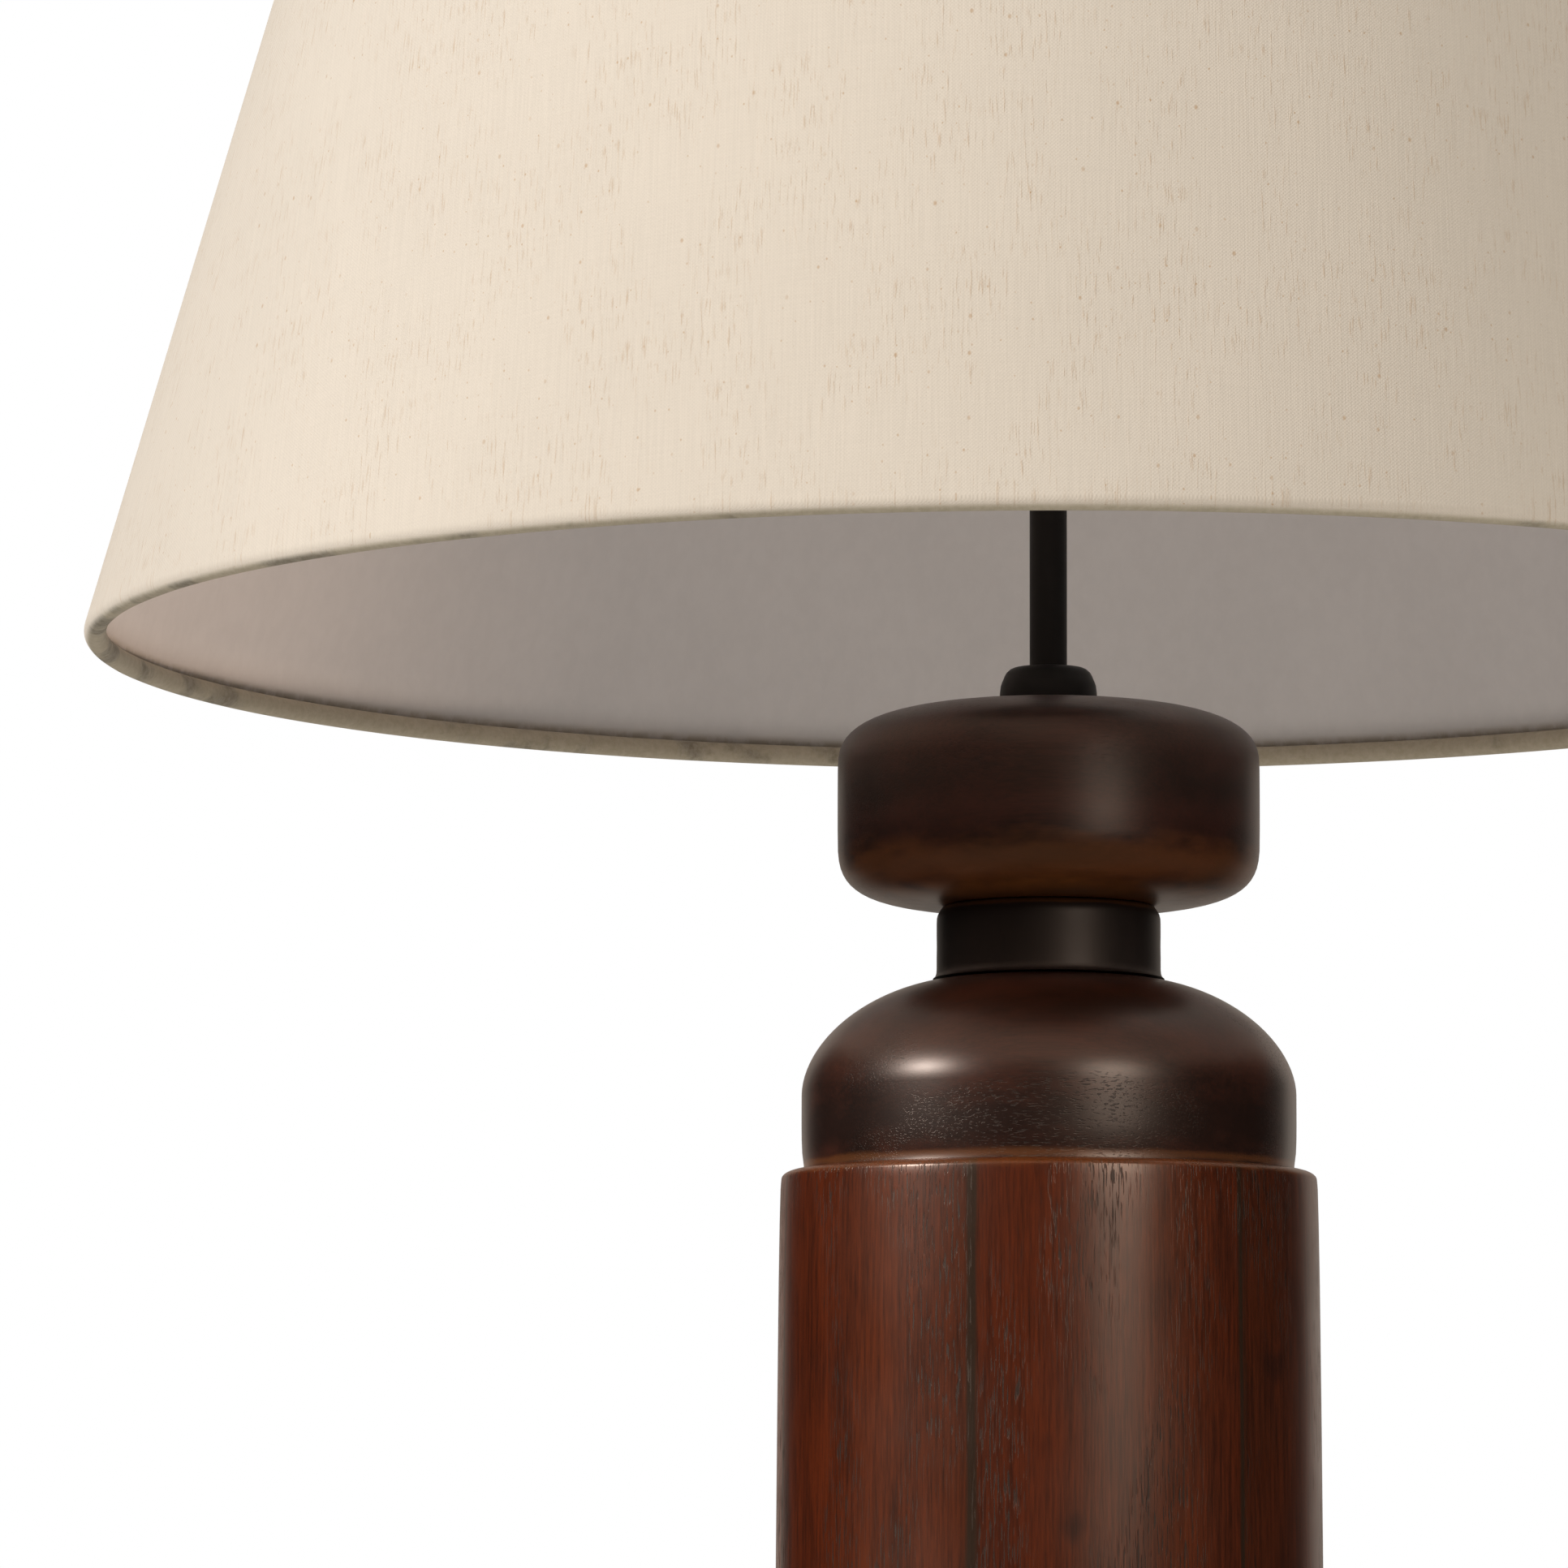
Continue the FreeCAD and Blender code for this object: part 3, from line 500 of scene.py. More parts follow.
def lacquered(tree, shader, grain, roughness, spread, coat, gloss, tint=WARM_GLOSS, bump=0.00008):
    """Lacquer over a grain: thin, dulled by handling and broken by the open pores."""
    shader.inputs["Roughness"].default_value = roughness
    feel = use(tree, "handled", {
        "Place": object_coords(tree), "Roughness": roughness, "Spread": spread,
    })
    feed(tree, shader, {
        "Roughness": maths(tree, "MULTIPLY_ADD", grain["Pores"], PORE_DULLNESS, feel["Roughness"]),
        "Coat Weight": coat, "Coat Roughness": COAT_ROUGHNESS,
        "Specular IOR Level": gloss, "Specular Tint": shown(tint),
    })
    bumped(tree, shader, grain["Height"], bump, 0.6)


def tone(colour, factor):
    return tuple(min(1.0, c * factor) for c in colour)


def wood(name, stain, rotation=(0, 0, 0), shift=(0, 0, 0), spread=1.5, rings=0.2, spacing=0.012,
         streaks=0.5, pores=0.5, pore_pitch=150.0, mottle=0.8, bands=(), roughness=0.42,
         coat=0.06, gloss=0.8):
    """Stained, lacquered wood. bands lists level bands of rubbed stain, and on the dome of painted
    shade: height, width, strength and colour.
    """
    made, tree, shader = material(name)
    plain = object_coords(tree)
    place = put(
        tree, "ShaderNodeMapping", {"Vector": plain, "Rotation": rotation, "Location": shift}
    ).outputs[0]
    grain = use(tree, "timber", {
        "Place": place, "Dark": shown(tone(stain, 1 / spread)), "Light": shown(tone(stain, spread)),
        "Ring Spacing": spacing, "Ring Strength": rings, "Streak Strength": streaks,
        "Pore Strength": pores, "Mottle": mottle, "Pore Pitch": pore_pitch,
    })
    colour = grain["Colour"]
    for height, width, strength, band_colour in bands:
        band = use(tree, "wear_and_shade_band", {"Place": plain, "Height": height, "Width": width})
        colour = mixed(tree, times(tree, band["Mask"], strength), colour, shown(band_colour))
    feed(tree, shader, {"Base Color": colour})
    lacquered(tree, shader, grain, roughness, 0.07, coat, gloss)
    return made


def hard_finish(name, colour, metallic, roughness, spread=0.08, grain=900.0, bump=0.00002):
    """Metal, plastic or ceramic with slight cloudiness and a fine surface grain."""
    made, tree, shader = material(name)
    feel = use(tree, "handled", {
        "Place": object_coords(tree), "Roughness": roughness, "Spread": spread, "Grain": grain,
    })
    base = mixed(tree, feel["Shade"], shown(tone(colour, 0.8)), shown(colour))
    feed(tree, shader, {
        "Base Color": base, "Metallic": metallic, "Roughness": feel["Roughness"],
    })
    bumped(tree, shader, feel["Height"], bump, 0.6)
    return made


def shader_input(made, socket):
    return made.node_tree.nodes["Principled BSDF"].inputs[socket]


HEM_TOP = RIM + 0.0080
UNDERSIDE = RIM + 0.0016


def linen_finish(settings):
    made, tree, shader = material("linen")
    flat = put(tree, "ShaderNodeUVMap", {}, uv_map="flat_cut").outputs[0]
    cloth = use(tree, "weave", {
        "Flat": flat, "Ground": shown(settings.linen), "Slub Colour": shown(settings.slub),
        "Thread": settings.thread,
    })
    # Painted shade: the cloth is darkened where it is rolled under and inside the lower ring, where
    # it faces down and inwards; the mottles in the darker colour stand for paste marks.
    coords = object_coords(tree)
    height = part_of(tree, coords, "Z")
    under = mapped(tree, height, UNDERSIDE, UNDERSIDE - 0.0013)
    inner = mapped(tree, level_reach(tree, coords), HEM_RADIUS, HEM_RADIUS - 0.0012)
    rolled = times(tree, inner, mapped(tree, height, HEM_TOP, HEM_TOP - 0.0010))
    stains = noise_on(tree, coords, scale=34.0, detail=4.0, roughness=0.62)
    fuzz = noise_on(tree, coords, scale=520.0, detail=3.0, roughness=0.7)
    hem_shade_and_paste = mixed(
        tree, mapped(tree, stains, 0.50, 0.66), shown(settings.hem), shown(tone(settings.hem, 0.5))
    )
    hem_shade_mask = maths(tree, "MAXIMUM", under, rolled)
    hem_shade_mask = times(tree, hem_shade_mask, mapped(tree, fuzz, 0.3, 0.7, 0.72, 1.0))
    feed(tree, shader, {
        "Base Color": mixed(tree, hem_shade_mask, cloth["Colour"], hem_shade_and_paste), "Roughness": 0.92,
        "Specular IOR Level": 0.2, "Sheen Weight": 0.12, "Sheen Roughness": 0.5,
    })
    bumped(tree, shader, cloth["Height"], 0.00012, 0.55)
    return made


def lining_finish(settings):
    made, tree, shader = material("shade_lining")
    coords = object_coords(tree)
    mottle = noise_on(tree, scaled(tree, coords, (240.0, 240.0, 160.0)), detail=4.0, roughness=0.6)
    cloud = noise_on(tree, scaled(tree, coords, (26.0, 26.0, 20.0)), detail=3.0, roughness=0.6)
    clean = times(
        tree, mapped(tree, mottle, 0.3, 0.7, 0.93, 1.0), mapped(tree, cloud, 0.3, 0.7, 0.93, 1.0)
    )
    colour = mixed(tree, clean, shown(tone(settings.lining, 0.55)), shown(settings.lining))
    # Painted shade: the lining darkens, in mottles, towards its lower edge where it meets the hem.
    edge = mapped(tree, part_of(tree, coords, "Z"), HEM_TOP + 0.0008, HEM_TOP - 0.0020)
    edge = times(tree, edge, mapped(tree, mottle, 0.3, 0.6, 0.15, 0.6))
    colour = mixed(tree, edge, colour, shown(tone(settings.hem, 0.8)))
    feed(tree, shader, {"Base Color": colour, "Roughness": 0.75, "Specular IOR Level": 0.3})
    bumped(tree, shader, mottle, 0.0001, 0.5)
    return made


# ---------------------------------------------------------------- shade

ROUND_STEPS = 288
WALL_STEPS = 36
WALL_WANDER = 0.00022
HEM_WANDER = 0.00016
HEM_DEPTH = 0.012
LAP_END = 0.003


def ring_section(node):
    """Centre (radius, height) of the wire of one of the shade's rings."""
    low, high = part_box(node)
    wire = (high.z - low.z) / 2
    return Vector((high.x - wire, (high.z + low.z) / 2))


class ShadeForm:
    """Where the shade's cloth runs, from its two wire rings."""

    def __init__(self):
        self.low = ring_section("bottom_ring")
        self.high = ring_section("top_ring")
        self.up = (self.high - self.low).normalized()
        self.out = Vector((self.up.y, -self.up.x))
        self.bead = self.low.y - RIM
        self.lean = math.atan2(-self.up.x, self.up.y)

    def at(self, ring, along, out):
        p = ring + self.up * along + self.out * out
        return Vector((p.x, 0, p.y))

    def round_ring(self, ring, radius, start, end, steps):
        """Points round a ring's wire; degrees from outwards, positive towards the wall's top."""
        points = []
        for i in range(steps + 1):
            a = math.radians(start + (end - start) * i / steps)
            points.append(self.at(ring, radius * math.sin(a), radius * math.cos(a)))
        return points

    def wall(self, out, low_gap, high_gap, steps):
        start = self.at(self.low, low_gap, out)
        end = self.at(self.high, -high_gap, out)
        return [start.lerp(end, i / steps) for i in range(steps + 1)]

    def flat_place(self, point):
        """Where a point of the wall lies on the flat cut, in metres: the threads run along Y."""
        reach = math.hypot(point.x, point.y) / math.sin(self.lean)
        bearing = math.atan2(point.x, -point.y) * math.sin(self.lean)
        return reach, bearing


def write_flat_cut(mesh, form):
    """Stores each point's place on the flat cut as a UV map, open along the seam at the back."""
    layer = mesh.loops.layers.uv.new("flat_cut")
    turn = TAU * math.sin(form.lean)
    for face in mesh.faces:
        _, home = form.flat_place(face.calc_center_median())
        for loop in face.loops:
            reach, bearing = form.flat_place(loop.vert.co)
            # A face that touches the seam keeps all its points on its own side of it.
            if bearing - home > turn / 2:
                bearing -= turn
            elif home - bearing > turn / 2:
                bearing += turn
            loop[layer].uv = (reach * math.sin(bearing), -reach * math.cos(bearing))


def relax_cloth(mesh, form):
    """Small unevenness of pasted cloth: the wall breathes a little and the hems wander."""
    for vert in mesh.verts:
        p = vert.co
        outwards = Vector((p.x, p.y, 0)).normalized()
        from_hem = min(abs(p.z - form.low.y), abs(p.z - form.high.y))
        wander = noise.noise(Vector((p.x * 9, p.y * 9, p.z * 6))) * WALL_WANDER
        if from_hem < HEM_DEPTH:
            wander += noise.noise(Vector((p.x * 42, p.y * 42, p.z * 90 + 7))) * HEM_WANDER
        vert.co += outwards * wander


class LAMP_OT_shade(bpy.types.Operator):
    """Linen skin with rolled hems, the lining behind it and the lap at the back"""

    bl_idname = "lamp.shade"
    bl_label = "Shade"

    def execute(self, context):
        settings = context.scene.lamp_shade
        form = ShadeForm()
        skin = self.skin(settings, form)
        lining = self.lining(settings, form)
        lap = self.lap(settings, form)
        return {"FINISHED"}

    def skin(self, settings, form):
        middle = form.bead - settings.cloth / 2
        tuck = math.degrees(math.acos((middle - settings.cloth) / middle)) + 8
        low = form.round_ring(form.low, middle, tuck, 360, 30)
        wall = form.wall(middle, 0.0, 0.0, WALL_STEPS)[1:-1]
        high = form.round_ring(form.high, middle, 0, 360 - tuck, 30)
        mesh = profile_mesh(low + wall + high, closed=False)
        spin(mesh, ROUND_STEPS)
        relax_cloth(mesh, form)
        write_flat_cut(mesh, form)
        finish = linen_finish(settings)
        made = piece("linen_skin", mesh, "shade", ["shade_fabric"], finish, 80)
        wall_thickness(made, settings.cloth)
        return made

    def lining(self, settings, form):
        middle = form.bead - settings.cloth - settings.card / 2
        mesh = profile_mesh(form.wall(middle, 0.0017, 0.0029, 24), closed=False)
        spin(mesh, ROUND_STEPS)
        write_flat_cut(mesh, form)
        finish = lining_finish(settings)
        made = piece("inner_lining", mesh, "shade", ["shade_liner"], finish, 80)
        wall_thickness(made, settings.card * 0.96)
        return made

    def lap(self, settings, form):
        """Folded edge of the cloth where its two ends are glued, at the back."""
        out = form.bead + 0.00012
        half = settings.lap / 2
        mesh = profile_mesh(form.wall(out, LAP_END, LAP_END, WALL_STEPS), closed=False)
        bmesh.ops.rotate(
            mesh, verts=mesh.verts, cent=(0, 0, 0),
            matrix=Matrix.Rotation(math.pi / 2 - half / form.low.x, 3, "Z"),
        )
        spin(mesh, 6, settings.lap / form.low.x)
        for vert in mesh.verts:
            vert.co.x *= form.low.x / vert.co.y
        write_flat_cut(mesh, form)
        made = piece("linen_lap", mesh, "shade", [], bpy.data.materials["linen"], 80)
        wall_thickness(made, 0.0004)
        return made


def wall_thickness(made, thickness):
    solid = made.modifiers.new("thickness", "SOLIDIFY")
    solid.thickness = thickness
    solid.offset = 0
    solid.use_even_offset = True


# ---------------------------------------------------------------- turned column

def turned_solid(name, outline, body, nodes, finish, steps=224):
    """A lathe-turned piece with a closed outline that doesn't cross the axis."""
    mesh = profile_mesh(below_rim(outline), closed=True)
    spin(mesh, steps)
    return piece(name, mesh, body, nodes, finish)


PASSAGE = 5.4


class LAMP_OT_column(bpy.types.Operator):
    """Collar, puck, neck ring and shoulder dome, turned over the frame"""

    bl_idname = "lamp.column"
    bl_label = "Turned column"

    def execute(self, context):
        settings = context.scene.lamp_column
        self.puck(settings)
        self.neck(settings)
        self.dome(settings)
        self.collar(context.scene.lamp_hardware)
        return {"FINISHED"}

    def puck(self, settings):
        top = shoulder((9.06, -13.34), (55.68, -30.2), 2.9)
        foot = shoulder((10.89, -66.4), (55.68, -46.0), 3.88)
        outline = [(PASSAGE, -13.34), *top, (55.7, -38.0), *reversed(foot), (PASSAGE, -66.4)]
        finish = wood(
            "puck_wood", settings.puck, rotation=(0, math.pi / 2, 0.2), shift=(0.0, 0.05, 0.4),
            rings=0.16, spacing=0.017, streaks=1.5, pores=0.25, mottle=2.0, spread=2.0,
            coat=0.04, roughness=0.38,
            bands=[(RIM - 0.0590, 0.0110, 0.26, settings.worn),
                   (RIM - 0.0655, 0.003, 0.25, settings.worn)],
        )
        turned_solid("turned_puck", outline, "stand", ["top_puck"], finish)

    def neck(self, settings):
        outline = [
            (PASSAGE, -66.45), (27.4, -66.45), (28.0, -66.7), (28.6, -67.5), (29.2, -68.6),
            (29.45, -69.6), (29.5, -71.0), (29.5, -74.0), (29.46, -77.0), (29.5, -80.0),
            (29.5, -83.0), (29.6, -84.2), (29.9, -85.0), (30.5, -85.55), (PASSAGE, -85.55),
        ]
        finish = wood(
            "neck_wood", settings.neck, shift=(0.1, 0.02, 0.0), rings=0.1, streaks=0.3,
            pores=0.1, spread=1.4, mottle=1.2, roughness=0.5,
            bands=[(RIM - 0.0672, 0.0011, 0.5, tone(settings.worn, 0.55))],
        )
        turned_solid("turned_neck", outline, "stand", ["neck_ring"], finish)

    def dome(self, settings):
        top = shoulder((23.0, -85.6), (64.95, -116.2), 1.84, steps=26)
        outline = [
            (PASSAGE, -85.6), *top, (64.95, -120.0), (64.95, -124.0), (64.9, -128.0),
            (64.75, -131.5), (64.45, -133.8), (64.3, -135.0), (64.5, -136.25),
            (31.8, -136.25), (31.8, -150.2), (PASSAGE, -150.2),
        ]
        finish = wood(
            "dome_wood", settings.dome, rotation=(0, math.pi / 2, -0.5), shift=(0.34, 0.07, 0.08),
            rings=0.14, spacing=0.02, streaks=1.5, pores=0.8, pore_pitch=480.0, mottle=2.0,
            spread=2.0, coat=0.26, roughness=0.36, gloss=1.0,
            # The first band is painted shade that darkens the dome's upright lower side; the second
            # is stain rubbed thin at its foot.
            bands=[(RIM - 0.1265, 0.0130, 0.80, tone(settings.dome, 0.25)),
                   (RIM - 0.1350, 0.0020, 0.30, settings.worn)],
        )
        turned_solid("turned_dome", outline, "stand", ["shoulder_dome"], finish)

    def collar(self, settings):
        """Domed round nut; its side swells downwards in one easy curve."""
        side = [(10.2, -3.4), (11.1, -4.2), (11.6, -5.1), (11.9, -5.9), (12.3, -6.8),
                (12.6, -7.7), (12.7, -8.5), (12.85, -9.6), (12.88, -11.0), (12.88, -12.7)]
        outline = [(5.05, -2.95), (8.6, -2.95), (9.5, -3.08), *side, (12.7, -13.2), (5.05, -13.28)]
        finish = hard_finish("black_coat", settings.black, 0.0, 0.48, grain=2600.0, bump=0.00005)
        shader_input(finish, "Specular IOR Level").default_value = 0.22
        turned_solid("round_collar", outline, "stand", ["collar"], finish, 96)
        finish_nodes(finish, "riser_tube")


# ---------------------------------------------------------------- barrel

STAVES = 6
FIRST_SEAM = math.radians(-106)
STAVE_ANGLE = TAU / STAVES
DIRTY_STAVES = (0, 5)
TOP_STRENGTH = 1.1
# Stain across a stave, from its left edge (0) to its right edge (1) seen from outside:
# position, then strength of red-brown, and how far the tone leans to grey (0) or orange (1).
# The first and last rows are the staves seen from the front; their brighter, greyer stops lie
# where the soft boxes' highlights fall, and paint part of those highlights into the stain.
BOARDS = (
    ((0.0, 0.70, 0.75), (0.10, 0.76, 0.95), (0.30, 0.84, 0.85), (0.42, 0.92, 0.45),
     (0.66, 1.08, 0.30), (0.80, 1.02, 0.60), (1.0, 0.84, 0.85)),
    ((0.0, 0.74, 0.55), (0.16, 0.62, 0.50), (0.40, 0.72, 0.50), (0.70, 0.95, 0.60),
     (0.88, 0.80, 0.60), (1.0, 0.90, 0.55)),
    ((0.0, 0.95, 0.70), (0.2, 0.85, 0.45), (0.5, 0.98, 0.60), (0.8, 1.02, 0.30), (1.0, 0.9, 0.6)),
    ((0.0, 0.86, 0.50), (0.25, 1.0, 0.75), (0.55, 0.80, 0.35), (0.8, 0.95, 0.6), (1.0, 0.9, 0.5)),
    ((0.0, 0.98, 0.60), (0.3, 0.88, 0.35), (0.6, 1.02, 0.80), (0.85, 0.9, 0.45), (1.0, 0.95, 0.6)),
    ((0.0, 0.90, 0.80), (0.26, 0.74, 1.00), (0.42, 0.90, 0.85), (0.58, 0.90, 0.60),
     (0.75, 1.06, 0.50), (0.90, 0.84, 0.65), (1.0, 0.64, 0.40)),
)


def board_ramp(tree, across, board, channel, top):
    """One property of a board across its width, as a grey from a colour ramp."""
    ramp = tree.nodes.new("ShaderNodeValToRGB")
    ramp.color_ramp.interpolation = "B_SPLINE"
    stops = ramp.color_ramp.elements
    while len(stops) < len(board):
        stops.new(0.5)
    for stop, row in zip(stops, board):
        stop.position = row[0]
        value = row[channel] / top
        stop.color = (value, value, value, 1)
    feed(tree, ramp, {0: across})
    return ramp.outputs[0]


def stave_finish(index, settings):
    """Red-brown stained stave with its own figure, darker and dirtier along its glue lines; on the
    front staves its stain also carries painted highlight.
    """
    made, tree, shader = material(f"stave_wood_{index + 1}")
    middle = FIRST_SEAM + (index + 0.5) * STAVE_ANGLE
    plain = object_coords(tree)
    turned = put(
        tree, "ShaderNodeMapping", {"Vector": plain, "Rotation": (0, 0, -middle)}
    ).outputs[0]
    bearing = maths(tree, "ARCTAN2", part_of(tree, turned, "Y"), part_of(tree, turned, "X"))
    sway = noise_on(tree, scaled(tree, plain, (30.0, 30.0, 5.0)), detail=2.0)
    bent = plus(tree, bearing, swing(tree, sway, 0.10))
    across = maths(tree, "MULTIPLY_ADD", bent, 1 / STAVE_ANGLE, 0.5)
    # Partly painted highlight: on the front staves these ramps brighten and grey the stain where
    # the highlights fall.
    strength = board_ramp(tree, across, BOARDS[index], 1, TOP_STRENGTH)
    warmth = board_ramp(tree, across, BOARDS[index], 2, 1.0)

    shift = (0.09 - 0.03 * (index % 3), 0.021 * index - 0.05, 0.37 * index)
    grain = use(tree, "timber", {
        "Place": vector_maths(tree, "ADD", {0: turned, 1: shift})[0],
        "Dark": shown(tone(settings.barrel, 0.5)), "Light": shown(tone(settings.barrel, 1.5)),
        "Ring Spacing": 0.011, "Ring Strength": 0.13, "Streak Strength": 2.4,
        "Pore Strength": 0.85, "Mottle": 0.8,
    })
    grey = mixed(tree, 1.0, grain["Colour"], shown(srgb(232, 244, 255)), "MULTIPLY")
    orange = mixed(tree, 1.0, grain["Colour"], shown(srgb(255, 216, 150)), "MULTIPLY")
    gain = times(tree, strength, TOP_STRENGTH * 1.06)
    colour = dimmed(tree, mixed(tree, warmth, grey, orange), gain)

    blot = noise_on(tree, scaled(tree, plain, (62.0, 62.0, 30.0)), detail=2.0)
    blots = times(tree, mapped(tree, blot, 0.66, 0.76), 0.6)
    colour = mixed(tree, blots, colour, shown(srgb(34, 13, 8)))
    edge = maths(tree, "SUBTRACT", STAVE_ANGLE / 2, maths(tree, "ABSOLUTE", bearing))
    ragged = noise_on(tree, scaled(tree, plain, (400.0, 400.0, 22.0)), detail=3.0)
    edge = plus(tree, edge, swing(tree, ragged, 0.022))
    dirt = 0.92 if index in DIRTY_STAVES else 0.3
    glue = times(tree, mapped(tree, edge, 0.024, 0.010), dirt)
    colour = mixed(tree, glue, colour, shown(srgb(44, 31, 20)))
    # Lighter band along the barrel's top corner: stain rubbed thin, with part of the corner's
    # highlight painted in.
    rubbed = use(tree, "wear_and_shade_band", {
        "Place": plain, "Height": RIM - 0.1372, "Width": 0.0020, "Raggedness": 0.8,
    })
    colour = mixed(tree, times(tree, rubbed["Mask"], 0.22), colour, shown(settings.worn))
    feed(tree, shader, {"Base Color": colour})
    lacquered(tree, shader, grain, 0.31, 0.08, 0.02, 1.0, (1.0, 0.77, 0.65), bump=0.00009)
    return made


class LAMP_OT_barrel(bpy.types.Operator):
    """Six glued staves under one rounded shoulder"""

    bl_idname = "lamp.barrel"
    bl_label = "Barrel staves"

    def execute(self, context):
        settings = context.scene.lamp_column
        for index in range(STAVES):
            self.stave(index, settings)
        return {"FINISHED"}

    def outline(self):
        corner = [(66.2 + 4.0 * math.sin(a), -138.5 + 2.2 * math.cos(a))
                  for a in (math.pi / 2 * i / 8 for i in range(9))]
        foot = (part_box("barrel_stave_1")[0].z - RIM) / MM
        return [
            (32.1, -136.3), (50.0, -136.3), (62.0, -136.3), (65.0, -136.3), *corner,
            (70.3, -139.6), (70.4, -141.0), (70.6, -150.0), (70.8, -165.0), (71.05, -198.0),
            (71.25, -233.0), (71.6, -300.0), (71.95, -360.0), (72.25, -430.0),
            (72.35, foot + 2.5), (72.35, foot + 1.2), (71.9, foot + 0.4), (71.2, foot + 0.05),
            (68.0, foot + 0.02), (32.1, foot + 0.02),
        ]

    def stave(self, index, settings):
        mesh = profile_mesh(below_rim(self.outline()), closed=True)
        bmesh.ops.contextual_create(mesh, geom=mesh.edges)
        gap = 0.00001
        start = FIRST_SEAM + index * STAVE_ANGLE + gap
        bmesh.ops.rotate(
            mesh, verts=mesh.verts, cent=(0, 0, 0), matrix=Matrix.Rotation(start, 3, "Z")
        )
        spin(mesh, 40, STAVE_ANGLE - 2 * gap)
        piece(
            f"stave_{index + 1}", mesh, "stand", [f"barrel_stave_{index + 1}"],
            stave_finish(index, settings), 50,
        )


# ---------------------------------------------------------------- legs

FOOT_REACH = 0.236
SOCKET_REACH = 0.044


class LAMP_OT_legs(bpy.types.Operator):
    """Stain on the leg block and the three legs, with the grain along each leg"""

    bl_idname = "lamp.legs"
    bl_label = "Leg block and legs"

    def execute(self, context):
        settings = context.scene.lamp_column
        block = wood(
            "block_wood", tone(settings.barrel, 0.85), rotation=(0, math.pi / 2, 0.9),
            shift=(0.0, 0.03, 0.0), spacing=0.009, pores=0.6, spread=1.4,
        )
        finish_nodes(block, "leg_block")
        for number in (1, 2, 3):
            low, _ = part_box(f"leg_{number}")
            bearing = math.radians(90 + (number - 1) * 120)
            outwards = Vector((math.cos(bearing), math.sin(bearing), 0))
            foot = Vector((0, 0, low.z)) + outwards * FOOT_REACH
            top = outwards * SOCKET_REACH + Vector((0, 0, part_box("leg_block")[0].z))
            axis = (top - foot).normalized()
            turn = axis.rotation_difference(Vector((0, 0, 1))).to_matrix()
            shift = -(turn @ foot) + Vector((0.05, 0.02 * number, 0.3 * number))
            stained = wood(
                f"leg_wood_{number}", settings.barrel, rotation=turn.to_euler("XYZ"), shift=shift,
                spacing=0.010, streaks=0.7, pores=0.6, spread=1.4,
                bands=[(low.z + 0.004, 0.010, 0.5, settings.worn)],
            )
            finish_nodes(stained, f"leg_{number}")
        return {"FINISHED"}


# ---------------------------------------------------------------- hardware, holder, bulb

class LAMP_OT_hardware(bpy.types.Operator):
    """Finishes of the pipe, harp, spider, feet and fixings"""

    bl_idname = "lamp.hardware"
    bl_label = "Hardware"

    def execute(self, context):
        settings = context.scene.lamp_hardware
        nickel = hard_finish("nickel_plate", settings.nickel, 1.0, 0.28, grain=1400.0)
        finish_nodes(
            nickel, "harp", "harp_stud", "harp_saddle", "saddle_nut", "harp_sleeve_left",
            "harp_sleeve_right", "bottom_ring", "top_ring", "fitter_washer", "spider_arms",
        )
        zinc = hard_finish("zinc_plate", tone(settings.nickel, 0.8), 1.0, 0.42, grain=700.0)
        finish_nodes(
            zinc, "tie_pipe", "clamp_washer", "clamp_nut", "hanger_bolts", "leg_inserts",
            "glide_nails", "holder_set_screw",
        )
        brass = hard_finish("satin_brass", settings.brass, 1.0, 0.3, grain=1200.0)
        finish_nodes(
            brass, "finial_base", "screw_shell", "centre_contact", "terminal_screws",
            "bulb_eyelet",
        )
        nylon = hard_finish("brown_nylon", srgb(48, 38, 32), 0.0, 0.5, grain=500.0)
        finish_nodes(nylon, "foot_glides", "cord_bushing", "switch_rotor")
        return {"FINISHED"}


class LAMP_OT_holder(bpy.types.Operator):
    """Finishes of the lamp holder and its switch"""

    bl_idname = "lamp.holder"
    bl_label = "Lamp holder"

    def execute(self, context):
        finish_nodes(bpy.data.materials["black_coat"], "holder_cap", "holder_shell")
        phenolic = hard_finish("phenolic", srgb(38, 33, 30), 0.0, 0.42, grain=380.0)
        finish_nodes(phenolic, "holder_body")
        finish_nodes(hard_finish("knob_plastic", srgb(26, 24, 23), 0.0, 0.22), "switch_knob")
        fibre = hard_finish("fibre_paper", srgb(150, 118, 82), 0.0, 0.8, grain=260.0, bump=0.0001)
        finish_nodes(fibre, "holder_liner")
        return {"FINISHED"}


class LAMP_OT_bulb(bpy.types.Operator):
    """Finishes of the bulb"""

    bl_idname = "lamp.bulb"
    bl_label = "Bulb"

    def execute(self, context):
        opal = hard_finish("opal_glass", context.scene.lamp_hardware.glass, 0.0, 0.24, grain=90.0)
        shader_input(opal, "Transmission Weight").default_value = 0.2
        finish_nodes(opal, "bulb_glass")
        clear = hard_finish("clear_glass", (0.95, 0.97, 0.97), 0.0, 0.04, spread=0.01)
        shader_input(clear, "Transmission Weight").default_value = 1.0
        finish_nodes(clear, "bulb_stem")
        shell = hard_finish("bulb_shell", srgb(214, 212, 206), 1.0, 0.3, grain=1600.0)
        finish_nodes(shell, "bulb_base", "switch_shaft")
        finish_nodes(hard_finish("black_glass", srgb(22, 22, 26), 0.0, 0.12), "bulb_insulator")
        finish_nodes(hard_finish("phosphor", srgb(226, 186, 84), 0.0, 0.7), "bulb_filaments")
        return {"FINISHED"}


